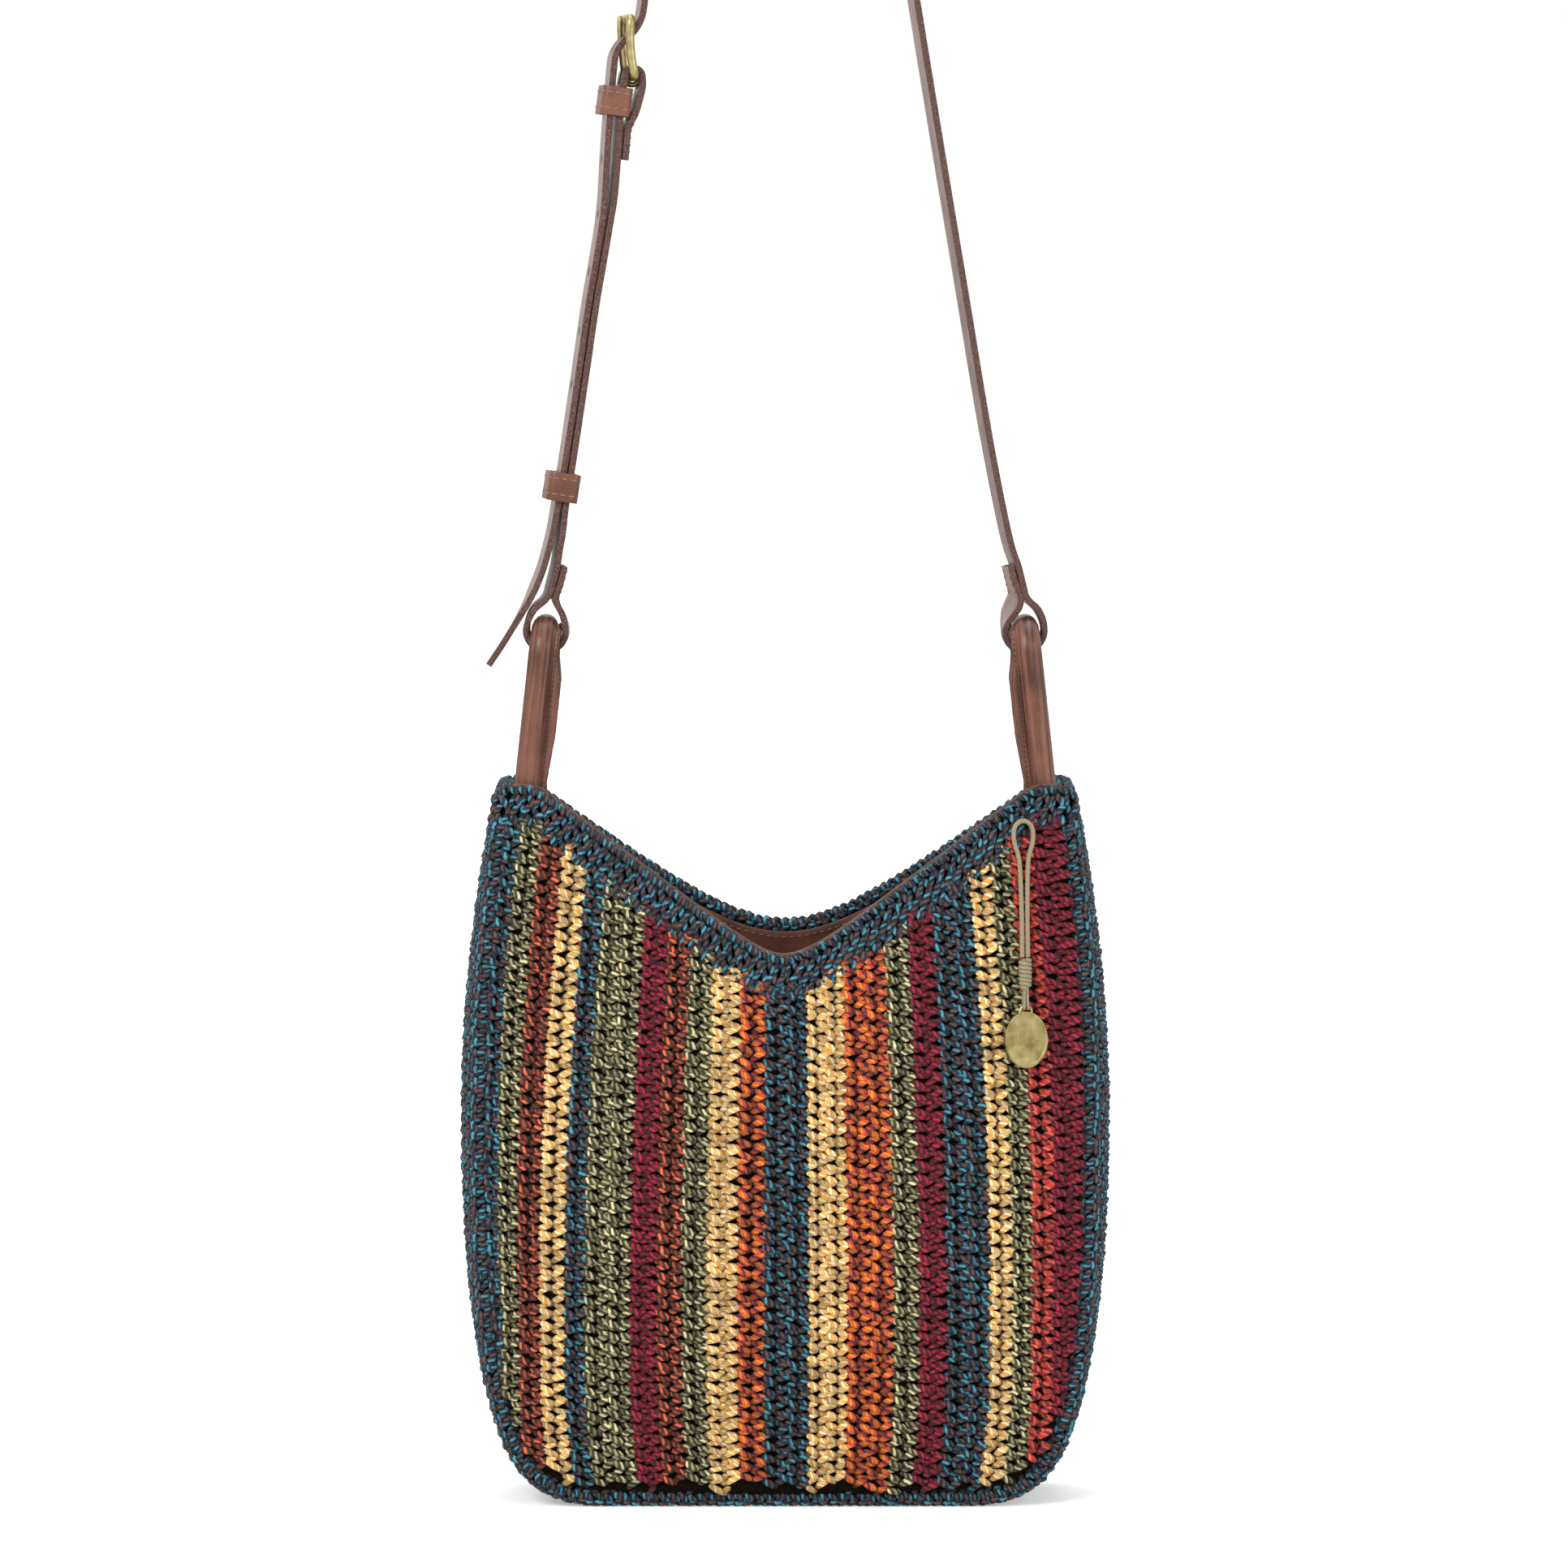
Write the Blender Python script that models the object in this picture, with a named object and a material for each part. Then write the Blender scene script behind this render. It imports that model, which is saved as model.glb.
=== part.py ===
"""Crocheted crossbody bag with rolled leather handle loops, a buckled strap and a hanging charm.

Metres, +Z up, front of the bag towards -Y. The bag stands on its flat base at Z = 0, under the
middle of the body. The body is two striped crochet panels and a gusset, joined by braided seams.
"""

import math

import bmesh
import bpy
from mathutils import Matrix, Vector

MM = 0.001

# Crochet body
GAP = 0.3 * MM                # clearance between pieces that are sewn together
CROCHET = 4.5 * MM            # thickness of the crocheted fabric
RIDGE = 0.8 * MM              # half the height of a crochet ridge
BRAID_R = 3.2 * MM            # radius of the braided seam
SEAM_Y = 29.0 * MM            # half the depth of the bag at its seams
WIDEST_Z = 165.0 * MM         # height at which the bag is widest
BASE_Z = 3.5 * MM             # height of the seams at the base
SIDE_POWER = 2.5              # how late the sides close in towards the base
BASE_POWER = 9.5              # how sharply the lower corners turn into the base
BASE_FLAT = 1.004             # how far the base is flattened by standing
CORNER_TOP_Z = 85.0 * MM      # where the lower corners run into the sides
TOP_TAPER = 0.53              # how fast the sides close in above the widest line, per metre
ROWS_CLOSE_Z = 90.0 * MM      # above this the rows of crochet draw in towards the opening
ROWS_LOW_Z = 60.0 * MM        # and below this towards the base
PANEL_BULGE = 16.0 * MM       # how far a filled panel swells past its seams
BULGE_START = 15.0 * MM       # the swelling starts this far below the base
BULGE_SPAN = 330.0 * MM       # and ends this far above its start
GUSSET_SWELL = 4.0 * MM       # how far the gusset swells between its seams
BASE_SWELL = 1.25 * MM        # how far the gusset stands proud of its seams everywhere
GUSSET_RIDGES = 4

# Opening
CORNER_Z = 314.5 * MM         # height of the opening's corners
FRONT_LOW_Z = 241.0 * MM      # lowest point of the front rim
BACK_LOW_Z = 250.5 * MM       # lowest point of the back rim
FRONT_RIM_CURVE = 12.0 * MM   # roundness of the dip in the front rim
BACK_RIM_CURVE = 35.0 * MM    # roundness of the dip in the back rim
RIM_SLOPE = 0.76              # slope of the rims beside the dip
RIM_BLEND = 3.5 * MM          # smoothing where the rims level out at the corners
BORDER_H = 15.0 * MM          # height of the plain border round the opening
BORDER_RIDGES = 3
FACING = 1.2 * MM             # thickness of the leather facing inside the rim
FACING_H = 24.0 * MM
FACING_LIP = 1.2 * MM         # how far the facing stands above the crochet
LINING = 1.2 * MM

# Fold pressed into the middle of the front panel
FOLD_U = 0.045
FOLD_WIDTH_U = 0.085
FOLD_DEPTH = 6.0 * MM

# Stripes of the panel from its left edge, as yarn, ridges and width at the widest line
STRIPES = [
    ("navy", 1, 4.9 * MM), ("olive", 1, 8.0 * MM), ("rust", 1, 10.0 * MM),
    ("cream", 1, 10.9 * MM), ("navy", 1, 9.0 * MM), ("olive", 2, 19.9 * MM),
    ("burgundy", 1, 11.6 * MM), ("rust", 1, 10.8 * MM), ("olive", 1, 11.0 * MM),
    ("cream", 1, 13.3 * MM), ("orange", 1, 11.4 * MM), ("navy", 2, 19.6 * MM),
    ("cream", 2, 16.7 * MM), ("orange", 2, 19.9 * MM), ("olive", 1, 11.4 * MM),
    ("burgundy", 1, 12.0 * MM), ("navy", 2, 18.9 * MM), ("cream", 1, 9.6 * MM),
    ("olive", 1, 9.0 * MM), ("coral", 1, 9.4 * MM), ("burgundy", 1, 12.7 * MM),
]

# Rolled handle loops
TUBE_R = 5.65 * MM            # outer radius of the rolled leather
COVER = 1.5 * MM              # thickness of the leather cover
WELT = 3.4 * MM               # width of the stitched welt on the inner side
WELT_AT_FOOT = 1.8 * MM       # the welt is tucked in where the handle enters the bag
WELT_AT_TOP = 1.5 * MM        # the strap presses the welt down to this at the top
WELT_T = 3.0 * MM
FOOT_X = 112.2 * MM           # where the legs go into the bag
FOOT_Z = 293.0 * MM
TOP_X = 104.8 * MM            # middle of the handle's top bar
TOP_Z = 382.4 * MM
BEND_R = 10.0 * MM

# Strap
STRAP_W = 20.0 * MM
STRAP_T = 2.8 * MM
STRAP_TURN = math.radians(7.5)  # how far the hanging strap turns about the vertical
TURN_LOW = 18.0 * MM          # the turn grows over this height above the handles
TURN_HIGH = 180.0 * MM        # and fades over this height below the crown
STRAP_LEAN = 0.17             # how far the strap's layers lean in together as they rise
CROWN_R = 20.0 * MM           # bend at the top of the strap
CROWN_Z = 868.0 * MM          # centre of that bend
HOLE_LENGTH = 12.0 * MM       # the hole in use, stretched by the prong
HOLE_W = 4.2 * MM
HOLE_PITCH = 25.0 * MM
SPARE_HOLES = 5

# Buckle
BAR_R = 1.9 * MM
BUCKLE_H = 29.0 * MM          # outer length along the strap
HEEL_BAR = Vector((-66.6 * MM, 0, 621.8 * MM))
BUCKLE_LEAN = math.radians(4)
PRONG_R = 1.2 * MM
PRONG_CLEAR = 0.25 * MM
SLOT_W = 6.0 * MM             # slot in the folded strap for the root of the prong

# Keepers
KEEPER_T = 1.6 * MM
KEEPER_H = 12.5 * MM
KEEPER_W_CLEAR = 0.8 * MM
FIXED_KEEPER_AT = Vector((-74.3 * MM, 0, 611.3 * MM))
FIXED_KEEPER_INSIDE = 9.9 * MM
FIXED_KEEPER_LEAN = math.radians(8)
SLIDING_KEEPER_AT = Vector((-97.6 * MM, 0, 444.0 * MM))
SLIDING_KEEPER_INSIDE = 10.6 * MM
SLIDING_KEEPER_LEAN = math.atan(0.155)

# Charm
CHARM_X = 103.0 * MM
CHARM_Z = 299.8 * MM
CHARM_CORD_R = 1.05 * MM
CHARM_STRAND = 1.25 * MM      # half the distance between the two strands
CHARM_LENGTH = 58.0 * MM      # from the top of the cord loop to the wrapped knot
CHARM_TURN = math.radians(11) # the panel under the charm faces this far outwards
CHARM_LEAN = math.radians(4.2)
WRAP_R = 2.9 * MM
WRAP_L = 14.0 * MM
TAIL_L = 6.0 * MM
TAIL_R = 1.5 * MM
DISC_W = 19.0 * MM
DISC_H = 24.5 * MM
DISC_T = 1.8 * MM
BAIL_R = 2.6 * MM
BAIL_WIRE_R = 0.7 * MM

YARN_COLOURS = {
    "navy": (0.035, 0.075, 0.115), "olive": (0.17, 0.17, 0.075), "rust": (0.19, 0.05, 0.03),
    "cream": (0.70, 0.42, 0.16), "burgundy": (0.16, 0.012, 0.025), "orange": (0.50, 0.11, 0.03),
    "coral": (0.50, 0.05, 0.03),
}
STRAP_LEATHER = (0.085, 0.035, 0.024)
HANDLE_LEATHER = (0.14, 0.042, 0.024)
LINING_CLOTH = (0.055, 0.022, 0.014)
CHARM_CORD = (0.22, 0.19, 0.10)
ANTIQUE_BRASS = (0.40, 0.31, 0.10)
FILLER = (0.6, 0.55, 0.45)

PANEL_HALF = sum(width for _, _, width in STRIPES) / 2
SEAM_INSET = BRAID_R + GAP
WIDEST_HALF = PANEL_HALF + SEAM_INSET
CORNER_R = SEAM_INSET + BASE_SWELL
FABRIC_INSIDE = CROCHET / 2 + RIDGE


def clear_scene():
    for obj in list(bpy.data.objects):
        bpy.data.objects.remove(obj)


def material(name, colour, roughness, metallic=0.0):
    made = bpy.data.materials.get(name)
    if made:
        return made
    made = bpy.data.materials.new(name)
    made.use_nodes = True
    shader = made.node_tree.nodes["Principled BSDF"]
    shader.inputs["Base Color"].default_value = (*colour, 1.0)
    shader.inputs["Roughness"].default_value = roughness
    shader.inputs["Metallic"].default_value = metallic
    return made


def yarn(name):
    return material(name + "_yarn", YARN_COLOURS[name], 0.75)


def new_object(name, bm, *materials, smooth_angle=40):
    mesh = bpy.data.meshes.new(name)
    bmesh.ops.recalc_face_normals(bm, faces=bm.faces)
    bm.to_mesh(mesh)
    bm.free()
    for entry in materials:
        mesh.materials.append(entry)
    mesh.shade_smooth()
    mesh.set_sharp_from_angle(angle=math.radians(smooth_angle))
    obj = bpy.data.objects.new(name, mesh)
    bpy.context.scene.collection.objects.link(obj)
    return obj


def cut(obj, cutter):
    modifier = obj.modifiers.new("cut", "BOOLEAN")
    modifier.object = cutter
    modifier.operation = "DIFFERENCE"
    cutter.hide_render = True
    cutter.display_type = "WIRE"


def join(obj, other):
    modifier = obj.modifiers.new("join", "BOOLEAN")
    modifier.object = other
    modifier.operation = "UNION"
    other.hide_render = True
    other.display_type = "WIRE"


def add_grid(bm, rows, closed=False):
    """Quads between rows of points. Returns the vertices, row by row."""
    verts = [[bm.verts.new(p) for p in row] for row in rows]
    faces = []
    for low, high in zip(verts, verts[1:]):
        pairs = list(zip(low, high))
        if closed:
            pairs.append(pairs[0])
        for (a, b), (c, d) in zip(pairs, pairs[1:]):
            faces.append(bm.faces.new((a, c, d, b)))
    return verts, faces


def add_slab(bm, outer, inner, closed=False):
    """A solid between two grids of the same size, which close on themselves where asked."""
    if closed:
        outer = outer + outer[:1]
        inner = inner + inner[:1]
    out_verts, faces = add_grid(bm, outer)
    in_verts, _ = add_grid(bm, inner)
    for a, b, c, d in zip(out_verts, out_verts[1:], in_verts, in_verts[1:]):
        bm.faces.new((a[0], b[0], d[0], c[0]))
        bm.faces.new((a[-1], b[-1], d[-1], c[-1]))
    if closed:
        ends = out_verts[0] + out_verts[-1] + in_verts[0] + in_verts[-1]
        bmesh.ops.remove_doubles(bm, verts=ends, dist=0.01 * MM)
        return faces
    for out_row, in_row in ((out_verts[0], in_verts[0]), (out_verts[-1], in_verts[-1])):
        for a, b, c, d in zip(out_row, out_row[1:], in_row, in_row[1:]):
            bm.faces.new((a, b, d, c))
    return faces


def add_tube(bm, rings, closed=False):
    """A solid through rings of points, capped at both ends unless it closes on itself."""
    if closed:
        rings = rings + rings[:1]
    verts, _ = add_grid(bm, rings, closed=True)
    if closed:
        bmesh.ops.remove_doubles(bm, verts=verts[0] + verts[-1], dist=0.01 * MM)
    else:
        bm.faces.new(verts[0])
        bm.faces.new(list(reversed(verts[-1])))


def catmull_rom(points, steps):
    """A smooth curve through the points, with so many steps between neighbours."""
    points = [Vector(p) for p in points]
    ends = [2 * points[0] - points[1], *points, 2 * points[-1] - points[-2]]
    curve = []
    for a, b, c, d in zip(ends, ends[1:], ends[2:], ends[3:]):
        for i in range(steps):
            t = i / steps
            curve.append(0.5 * (2 * b + (c - a) * t + (2 * a - 5 * b + 4 * c - d) * t ** 2
                                + (3 * b - 3 * c + d - a) * t ** 3))
    return curve + [points[-1]]


# Shape of the body

def bow(z):
    """How far a row of crochet lies out from the middle at a height, against the widest line."""
    if z > ROWS_CLOSE_Z:
        return 1 - 0.125 * ((z - ROWS_CLOSE_Z) / (200 * MM)) ** 1.6
    if z < ROWS_LOW_Z:
        return 1 - 0.035 * ((ROWS_LOW_Z - z) / (40 * MM)) ** 2
    return 1.0


def bottom_z(x, inset=0.0):
    """Height of the lower outline at a distance from the middle."""
    share = min(1.0, abs(x) / (WIDEST_HALF - inset))
    drop = min(1.0, BASE_FLAT * (1 - share ** BASE_POWER) ** (1 / SIDE_POWER))
    return WIDEST_Z - (WIDEST_Z - BASE_Z - inset) * drop


def side_x(z, inset=0.0):
    """Half width of the outline at a height."""
    if z >= WIDEST_Z:
        return WIDEST_HALF - inset - TOP_TAPER * (z - WIDEST_Z) ** 2
    drop = (WIDEST_Z - z) / (WIDEST_Z - BASE_Z - inset) / BASE_FLAT
    return (WIDEST_HALF - inset) * (1 - drop ** SIDE_POWER) ** (1 / BASE_POWER)


def column_x(u, z, inset=SEAM_INSET):
    """Where a row of crochet runs: u is 0 in the middle and 1 at the right edge."""
    edge = abs(u) ** 6
    inner = (WIDEST_HALF - inset) * bow(z)
    outer = side_x(max(z, CORNER_TOP_Z), inset)
    return u * ((1 - edge) * inner + edge * outer)


def column_bottom(u, inset=SEAM_INSET):
    low, high = BASE_Z + inset, CORNER_TOP_Z
    for _ in range(30):
        z = (low + high) / 2
        if z < bottom_z(column_x(u, z, inset), inset):
            low = z
        else:
            high = z
    return high


def rim_z(x, front):
    low = FRONT_LOW_Z if front else BACK_LOW_Z
    curve = FRONT_RIM_CURVE if front else BACK_RIM_CURVE
    below = CORNER_Z - low - RIM_SLOPE * (math.hypot(x, curve) - curve)
    if below > RIM_BLEND:
        return CORNER_Z - below
    return CORNER_Z - max(0.0, below + RIM_BLEND) ** 2 / (4 * RIM_BLEND)


def drop_below_rim(x, front, height):
    """Height of a line that runs under the rim at a distance measured square to it."""
    step = 0.5 * MM
    grade = (rim_z(abs(x) + step, front) - rim_z(abs(x), front)) / step
    return rim_z(x, front) - height * math.hypot(1, grade)


def column_top(u, front, height, inset=SEAM_INSET):
    z = CORNER_Z
    for _ in range(12):
        z = drop_below_rim(column_x(u, z, inset), front, height)
    return z


def half_depth(u, z, front):
    """Distance of the panel's middle surface from the bag's middle plane."""
    swell = max(0.0, math.sin(math.pi * (z + BULGE_START) / BULGE_SPAN))
    depth = SEAM_Y + PANEL_BULGE * swell * (1 - min(1.0, abs(u)) ** 2.4)
    if front:
        depth -= (FOLD_DEPTH * math.exp(-((u - FOLD_U) / FOLD_WIDTH_U) ** 2)
                  * min(1.0, z / FRONT_LOW_Z) ** 1.3)
    return depth


def panel_point(u, z, front, offset=0.0, inset=SEAM_INSET):
    """A point of a panel. The back panel is the same panel turned round, so its x is mirrored."""
    depth = half_depth(u, z, front) + offset
    x = column_x(u, z, inset)
    return Vector((x, -depth, z)) if front else Vector((-x, depth, z))


def seam_path(count, top):
    """Seam line in X and Z from the top left, down, along the base and up to the top right."""
    side = [top + (WIDEST_Z - top) * i / (count // 4) for i in range(count // 4)]
    points = [(side_x(z), z) for z in side]
    turns = count // 2 - count // 4
    for i in range(turns + 1):
        angle = math.pi / 2 * i / turns
        x = WIDEST_HALF * math.cos(angle) ** (2 / BASE_POWER)
        points.append((x, bottom_z(x)) if i < turns else (0.0, BASE_Z))
    left = [Vector((-x, 0, z)) for x, z in points]
    right = [Vector((x, 0, z)) for x, z in reversed(points[:-1])]
    return left + right


def tangents(points, closed=False):
    count = len(points)
    found = []
    for i in range(count):
        before = points[i - 1] if i or closed else points[0]
        after = points[(i + 1) % count] if i < count - 1 or closed else points[-1]
        found.append((after - before).normalized())
    return found


# Crocheted pieces

def stripe_columns():
    """Edges and ridges of the panel as u, whether it is a ridge, and the yarn to its right."""
    columns = [(-1.0, False, STRIPES[0][0])]
    x = -PANEL_HALF
    for name, ridges, width in STRIPES:
        for i in range(ridges):
            middle = x + width * (i + 0.5) / ridges
            edge = x + width * (i + 1) / ridges
            columns[-1] = (*columns[-1][:2], name)
            columns.append((middle / PANEL_HALF, True, name))
            columns.append((edge / PANEL_HALF, False, name))
        x += width
    return columns


def make_panel(name, front, rows=8):
    bm = bmesh.new()
    columns = stripe_columns()
    outer, inner = [], []
    for u, is_ridge, _ in columns:
        low = column_bottom(u)
        high = column_top(u, front, BORDER_H + GAP)
        ridge = RIDGE if is_ridge else -RIDGE
        for lines, face in ((outer, CROCHET / 2), (inner, -CROCHET / 2)):
            lines.append([panel_point(u, low + (high - low) * i / rows, front, face + ridge)
                          for i in range(rows + 1)])
    faces = add_slab(bm, outer, inner)
    yarns = sorted(YARN_COLOURS)
    for i, face in enumerate(faces):
        face.material_index = yarns.index(columns[i // rows][2])
    return new_object(name, bm, *[yarn(y) for y in yarns])


def gusset_offset(v, z):
    """How far the gusset stands out from the seam line. v is 0 in its middle and 1 at a seam."""
    height = (z - 30 * MM) / (CORNER_Z - 30 * MM)
    swell = GUSSET_SWELL * math.sin(math.pi * min(1.0, max(0.0, height)))
    return BASE_SWELL + swell * (1 - v * v)


def make_gusset():
    bm = bmesh.new()
    path = seam_path(44, CORNER_Z - BORDER_H - GAP)
    half = SEAM_Y - SEAM_INSET
    columns = 2 * GUSSET_RIDGES
    outer, inner = [], []
    for point, along in zip(path, tangents(path)):
        outward = Vector((along.z, 0, -along.x))
        if point.z > WIDEST_Z:
            outward = Vector((math.copysign(1, point.x), 0, 0))
        ridge = RIDGE * min(1.0, (point.z - BASE_Z) / (8 * MM))
        for lines, face in ((outer, CROCHET / 2), (inner, -CROCHET / 2)):
            line = []
            for k in range(columns + 1):
                v = -1 + 2 * k / columns
                offset = gusset_offset(v, point.z) + face + (ridge if k % 2 else -ridge)
                line.append(point + outward * offset + Vector((0, v * half, 0)))
            lines.append(line)
    add_slab(bm, outer, inner)
    return new_object("gusset", bm, yarn("navy"))


def make_braid(name, y):
    bm = bmesh.new()
    path = seam_path(72, CORNER_Z - BORDER_H - GAP - BRAID_R)
    sides = 5
    rings = []
    for i, (point, along) in enumerate(zip(path, tangents(path))):
        outward = Vector((along.z, 0, -along.x))
        middle = point + Vector((0, y, 0))
        ring = []
        for k in range(sides):
            angle = 2 * math.pi * k / sides + i * math.pi / 5
            ring.append(middle + BRAID_R * (outward * math.cos(angle)
                                            + Vector((0, math.sin(angle), 0))))
        rings.append(ring)
    add_tube(bm, rings)
    return new_object(name, bm, yarn("navy"), smooth_angle=80)


def opening_stations():
    """Round the opening, anticlockwise from the front left, as a face and a place on it.

    A panel's place is its u, a corner's is the angle round it, and a gusset's is its share of y.
    """
    columns = [column[0] for column in stripe_columns()]
    stations = [("front", u) for u in columns]
    for face, facing_y in (("right", -1), ("left", 1)):
        corners = [(face, facing_y, math.radians(angle)) for angle in (30, 60)]
        stations += corners
        stations += [(face, share * -facing_y) for share in (-1, 0, 1)]
        stations += [(face, -facing_y, angle) for _, _, angle in reversed(corners)]
        if face == "right":
            stations += [("back", u) for u in columns]
    return stations


def opening_point(station, z, offset):
    """A point of the band round the opening, offset outwards from its middle surface."""
    face, place = station[:2]
    if face in ("front", "back"):
        return panel_point(place, z, face == "front", offset)
    side = 1 if face == "right" else -1
    if len(station) == 2:
        return Vector((side * (side_x(z) + BASE_SWELL + offset),
                       place * (SEAM_Y - CORNER_R), z))
    angle = station[2]
    radius = CORNER_R + offset
    return Vector((side * (side_x(z) - SEAM_INSET + radius * math.sin(angle)),
                   place * (SEAM_Y - CORNER_R + radius * math.cos(angle)), z))


def opening_height(station, below):
    """Height of a line that runs round the opening at a distance below its rim."""
    face, place = station[:2]
    if face in ("front", "back"):
        return column_top(place, face == "front", below)
    return CORNER_Z - below


def make_border():
    bm = bmesh.new()
    rows = 2 * BORDER_RIDGES
    outer, inner = [], []
    for station in opening_stations():
        high = opening_height(station, 0.0)
        low = opening_height(station, BORDER_H)
        for lines, face in ((outer, CROCHET / 2), (inner, -CROCHET / 2)):
            line = []
            for k in range(rows + 1):
                ridge = RIDGE * (1 if k % 2 else -1)
                line.append(opening_point(station, low + (high - low) * k / rows, face + ridge))
            lines.append(line)
    add_slab(bm, outer, inner, closed=True)
    return new_object("opening_border", bm, yarn("navy"))


def make_facing():
    bm = bmesh.new()
    outside = -(FABRIC_INSIDE + GAP)
    outer, inner = [], []
    for station in opening_stations():
        high = opening_height(station, 0.0) + FACING_LIP
        low = opening_height(station, FACING_H)
        heights = [low, (low + high) / 2, high]
        outer.append([opening_point(station, z, outside) for z in heights])
        inner.append([opening_point(station, z, outside - FACING) for z in heights])
    add_slab(bm, outer, inner, closed=True)
    return new_object("opening_facing", bm, material("facing_leather", HANDLE_LEATHER, 0.5))


def make_lining():
    """Inner bag: front and back, sides and base, open at the top."""
    inset = FABRIC_INSIDE + GAP + 0.3 * MM
    rows = 5
    columns = [column[0] for column in stripe_columns()]

    def shell(inside):
        """The lining's outer or inner surface: down the front, across the base, up the back."""
        far = inset + inside
        lines = []
        for u in columns:
            line = []
            for front, place in ((True, u), (False, -u)):
                low = column_bottom(place, inset) + inside
                high = column_top(place, front, FACING_H + 3 * MM, inset)
                heights = [low + (high - low) * i / rows for i in range(rows + 1)]
                points = [panel_point(place * (1 - inside / PANEL_HALF), z, front, -far, inset)
                          for z in heights]
                line += points if not front else list(reversed(points))
            lines.append(line)
        return lines

    bm = bmesh.new()
    outer, inner = shell(0.0), shell(LINING)
    out_verts, _ = add_grid(bm, outer)
    in_verts, _ = add_grid(bm, inner)
    for a, b, c, d in zip(out_verts, out_verts[1:], in_verts, in_verts[1:]):
        bm.faces.new((a[0], b[0], d[0], c[0]))
        bm.faces.new((a[-1], b[-1], d[-1], c[-1]))
    for verts in (out_verts, in_verts):
        for row in (verts[0], verts[-1]):
            for i in range(rows):
                bm.faces.new((row[i], row[i + 1], row[-2 - i], row[-1 - i]))
    for out_row, in_row in ((out_verts[0], in_verts[0]), (out_verts[-1], in_verts[-1])):
        bm.faces.new((out_row[0], out_row[-1], in_row[-1], in_row[0]))
    cloth = material("lining_cloth", LINING_CLOTH, 0.85)
    return new_object("lining", bm, cloth)


# Rolled handle loops

def handle_path(side):
    """Centre line of a handle loop, from the foot of its front leg to the foot of its back leg."""
    leg_y = SEAM_Y - FABRIC_INSIDE - FACING - 2 * GAP - TUBE_R
    lean_start = CORNER_Z
    half = []
    for z in (FOOT_Z, lean_start, (lean_start + TOP_Z - BEND_R) / 2, TOP_Z - BEND_R):
        half.append((leg_y, z))
    for i in (1, 2, 3):
        angle = math.pi / 6 * i
        half.append((leg_y - BEND_R * (1 - math.cos(angle)),
                     TOP_Z - BEND_R + BEND_R * math.sin(angle)))
    points = []
    for y, z in half:
        share = max(0.0, (z - lean_start) / (TOP_Z - lean_start))
        points.append(Vector((side * (FOOT_X + (TOP_X - FOOT_X) * share), -y, z)))
    back = [Vector((p.x, -p.y, p.z)) for p in reversed(points)]
    return points + back


def frame_rings(path, inner_side, outlines):
    """Rings across a path, with the first axis of each outline towards inner_side."""
    rings = []
    for point, along, outline in zip(path, tangents(path), outlines):
        across = (inner_side - along * inner_side.dot(along)).normalized()
        other = along.cross(across)
        rings.append([point + across * a + other * b for a, b in outline])
    return rings


def welt_outline(welt, sides=12):
    """Outline of the rolled tube with its welt along the first axis."""
    points = [(TUBE_R + welt, WELT_T / 2)]
    start = math.asin(WELT_T / 2 / TUBE_R)
    for k in range(sides - 2):
        angle = start + (2 * math.pi - 2 * start) * k / (sides - 3)
        points.append((TUBE_R * math.cos(angle), TUBE_R * math.sin(angle)))
    return points + [(TUBE_R + welt, -WELT_T / 2)]


def make_handle(name, side):
    path = handle_path(side)
    inner_side = Vector((-side, 0, 0))
    welts = []
    for point in path:
        near_top = min(1.0, max(0.0, (point.z - TOP_Z + 2.2 * BEND_R) / BEND_R))
        near_foot = min(1.0, max(0.0, 1 - (point.z - CORNER_Z) / (2 * BEND_R)))
        welts.append(WELT + (WELT_AT_TOP - WELT) * near_top + (WELT_AT_FOOT - WELT) * near_foot)
    outer = [welt_outline(w) for w in welts]
    inside = TUBE_R - COVER
    hole = [(inside * math.cos(math.atan2(b, a)), inside * math.sin(math.atan2(b, a)))
            for a, b in welt_outline(0.0)]
    bm = bmesh.new()
    outer_verts, _ = add_grid(bm, frame_rings(path, inner_side, outer), closed=True)
    inner_verts, _ = add_grid(bm, frame_rings(path, inner_side, [hole] * len(path)), closed=True)
    for end in (0, -1):
        ring = list(zip(outer_verts[end], inner_verts[end]))
        for (a, b), (c, d) in zip(ring, ring[1:] + ring[:1]):
            bm.faces.new((a, c, d, b))
    leather = material("handle_leather", HANDLE_LEATHER, 0.45)
    cover = new_object(name + "_cover", bm, leather, smooth_angle=50)
    bm = bmesh.new()
    core_r = inside * math.cos(math.pi / 9) - GAP
    circle = [(core_r * math.cos(math.pi * k / 4), core_r * math.sin(math.pi * k / 4))
              for k in range(8)]
    add_tube(bm, frame_rings(path, inner_side, [circle] * len(path)))
    core = new_object(name + "_core", bm, material("cord_filler", FILLER, 0.9))
    return cover, core


# Straps

def strap_turn(z):
    """The strap hangs turned about the vertical, but lies square at the handles and the crown."""
    low = min(1.0, max(0.0, (z - TOP_Z) / TURN_LOW))
    high = min(1.0, max(0.0, (CROWN_Z - 10 * MM - z) / TURN_HIGH))
    return STRAP_TURN * low * high


def hang(point):
    """Turns a point of the buckled side about the middle of its layers, with the strap."""
    if point.x > 0:
        return point
    middle = HEEL_BAR.x + (point.z - HEEL_BAR.z) * STRAP_LEAN
    return Vector((point.x, (point.x - middle) * math.tan(strap_turn(point.z)), point.z))


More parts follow.
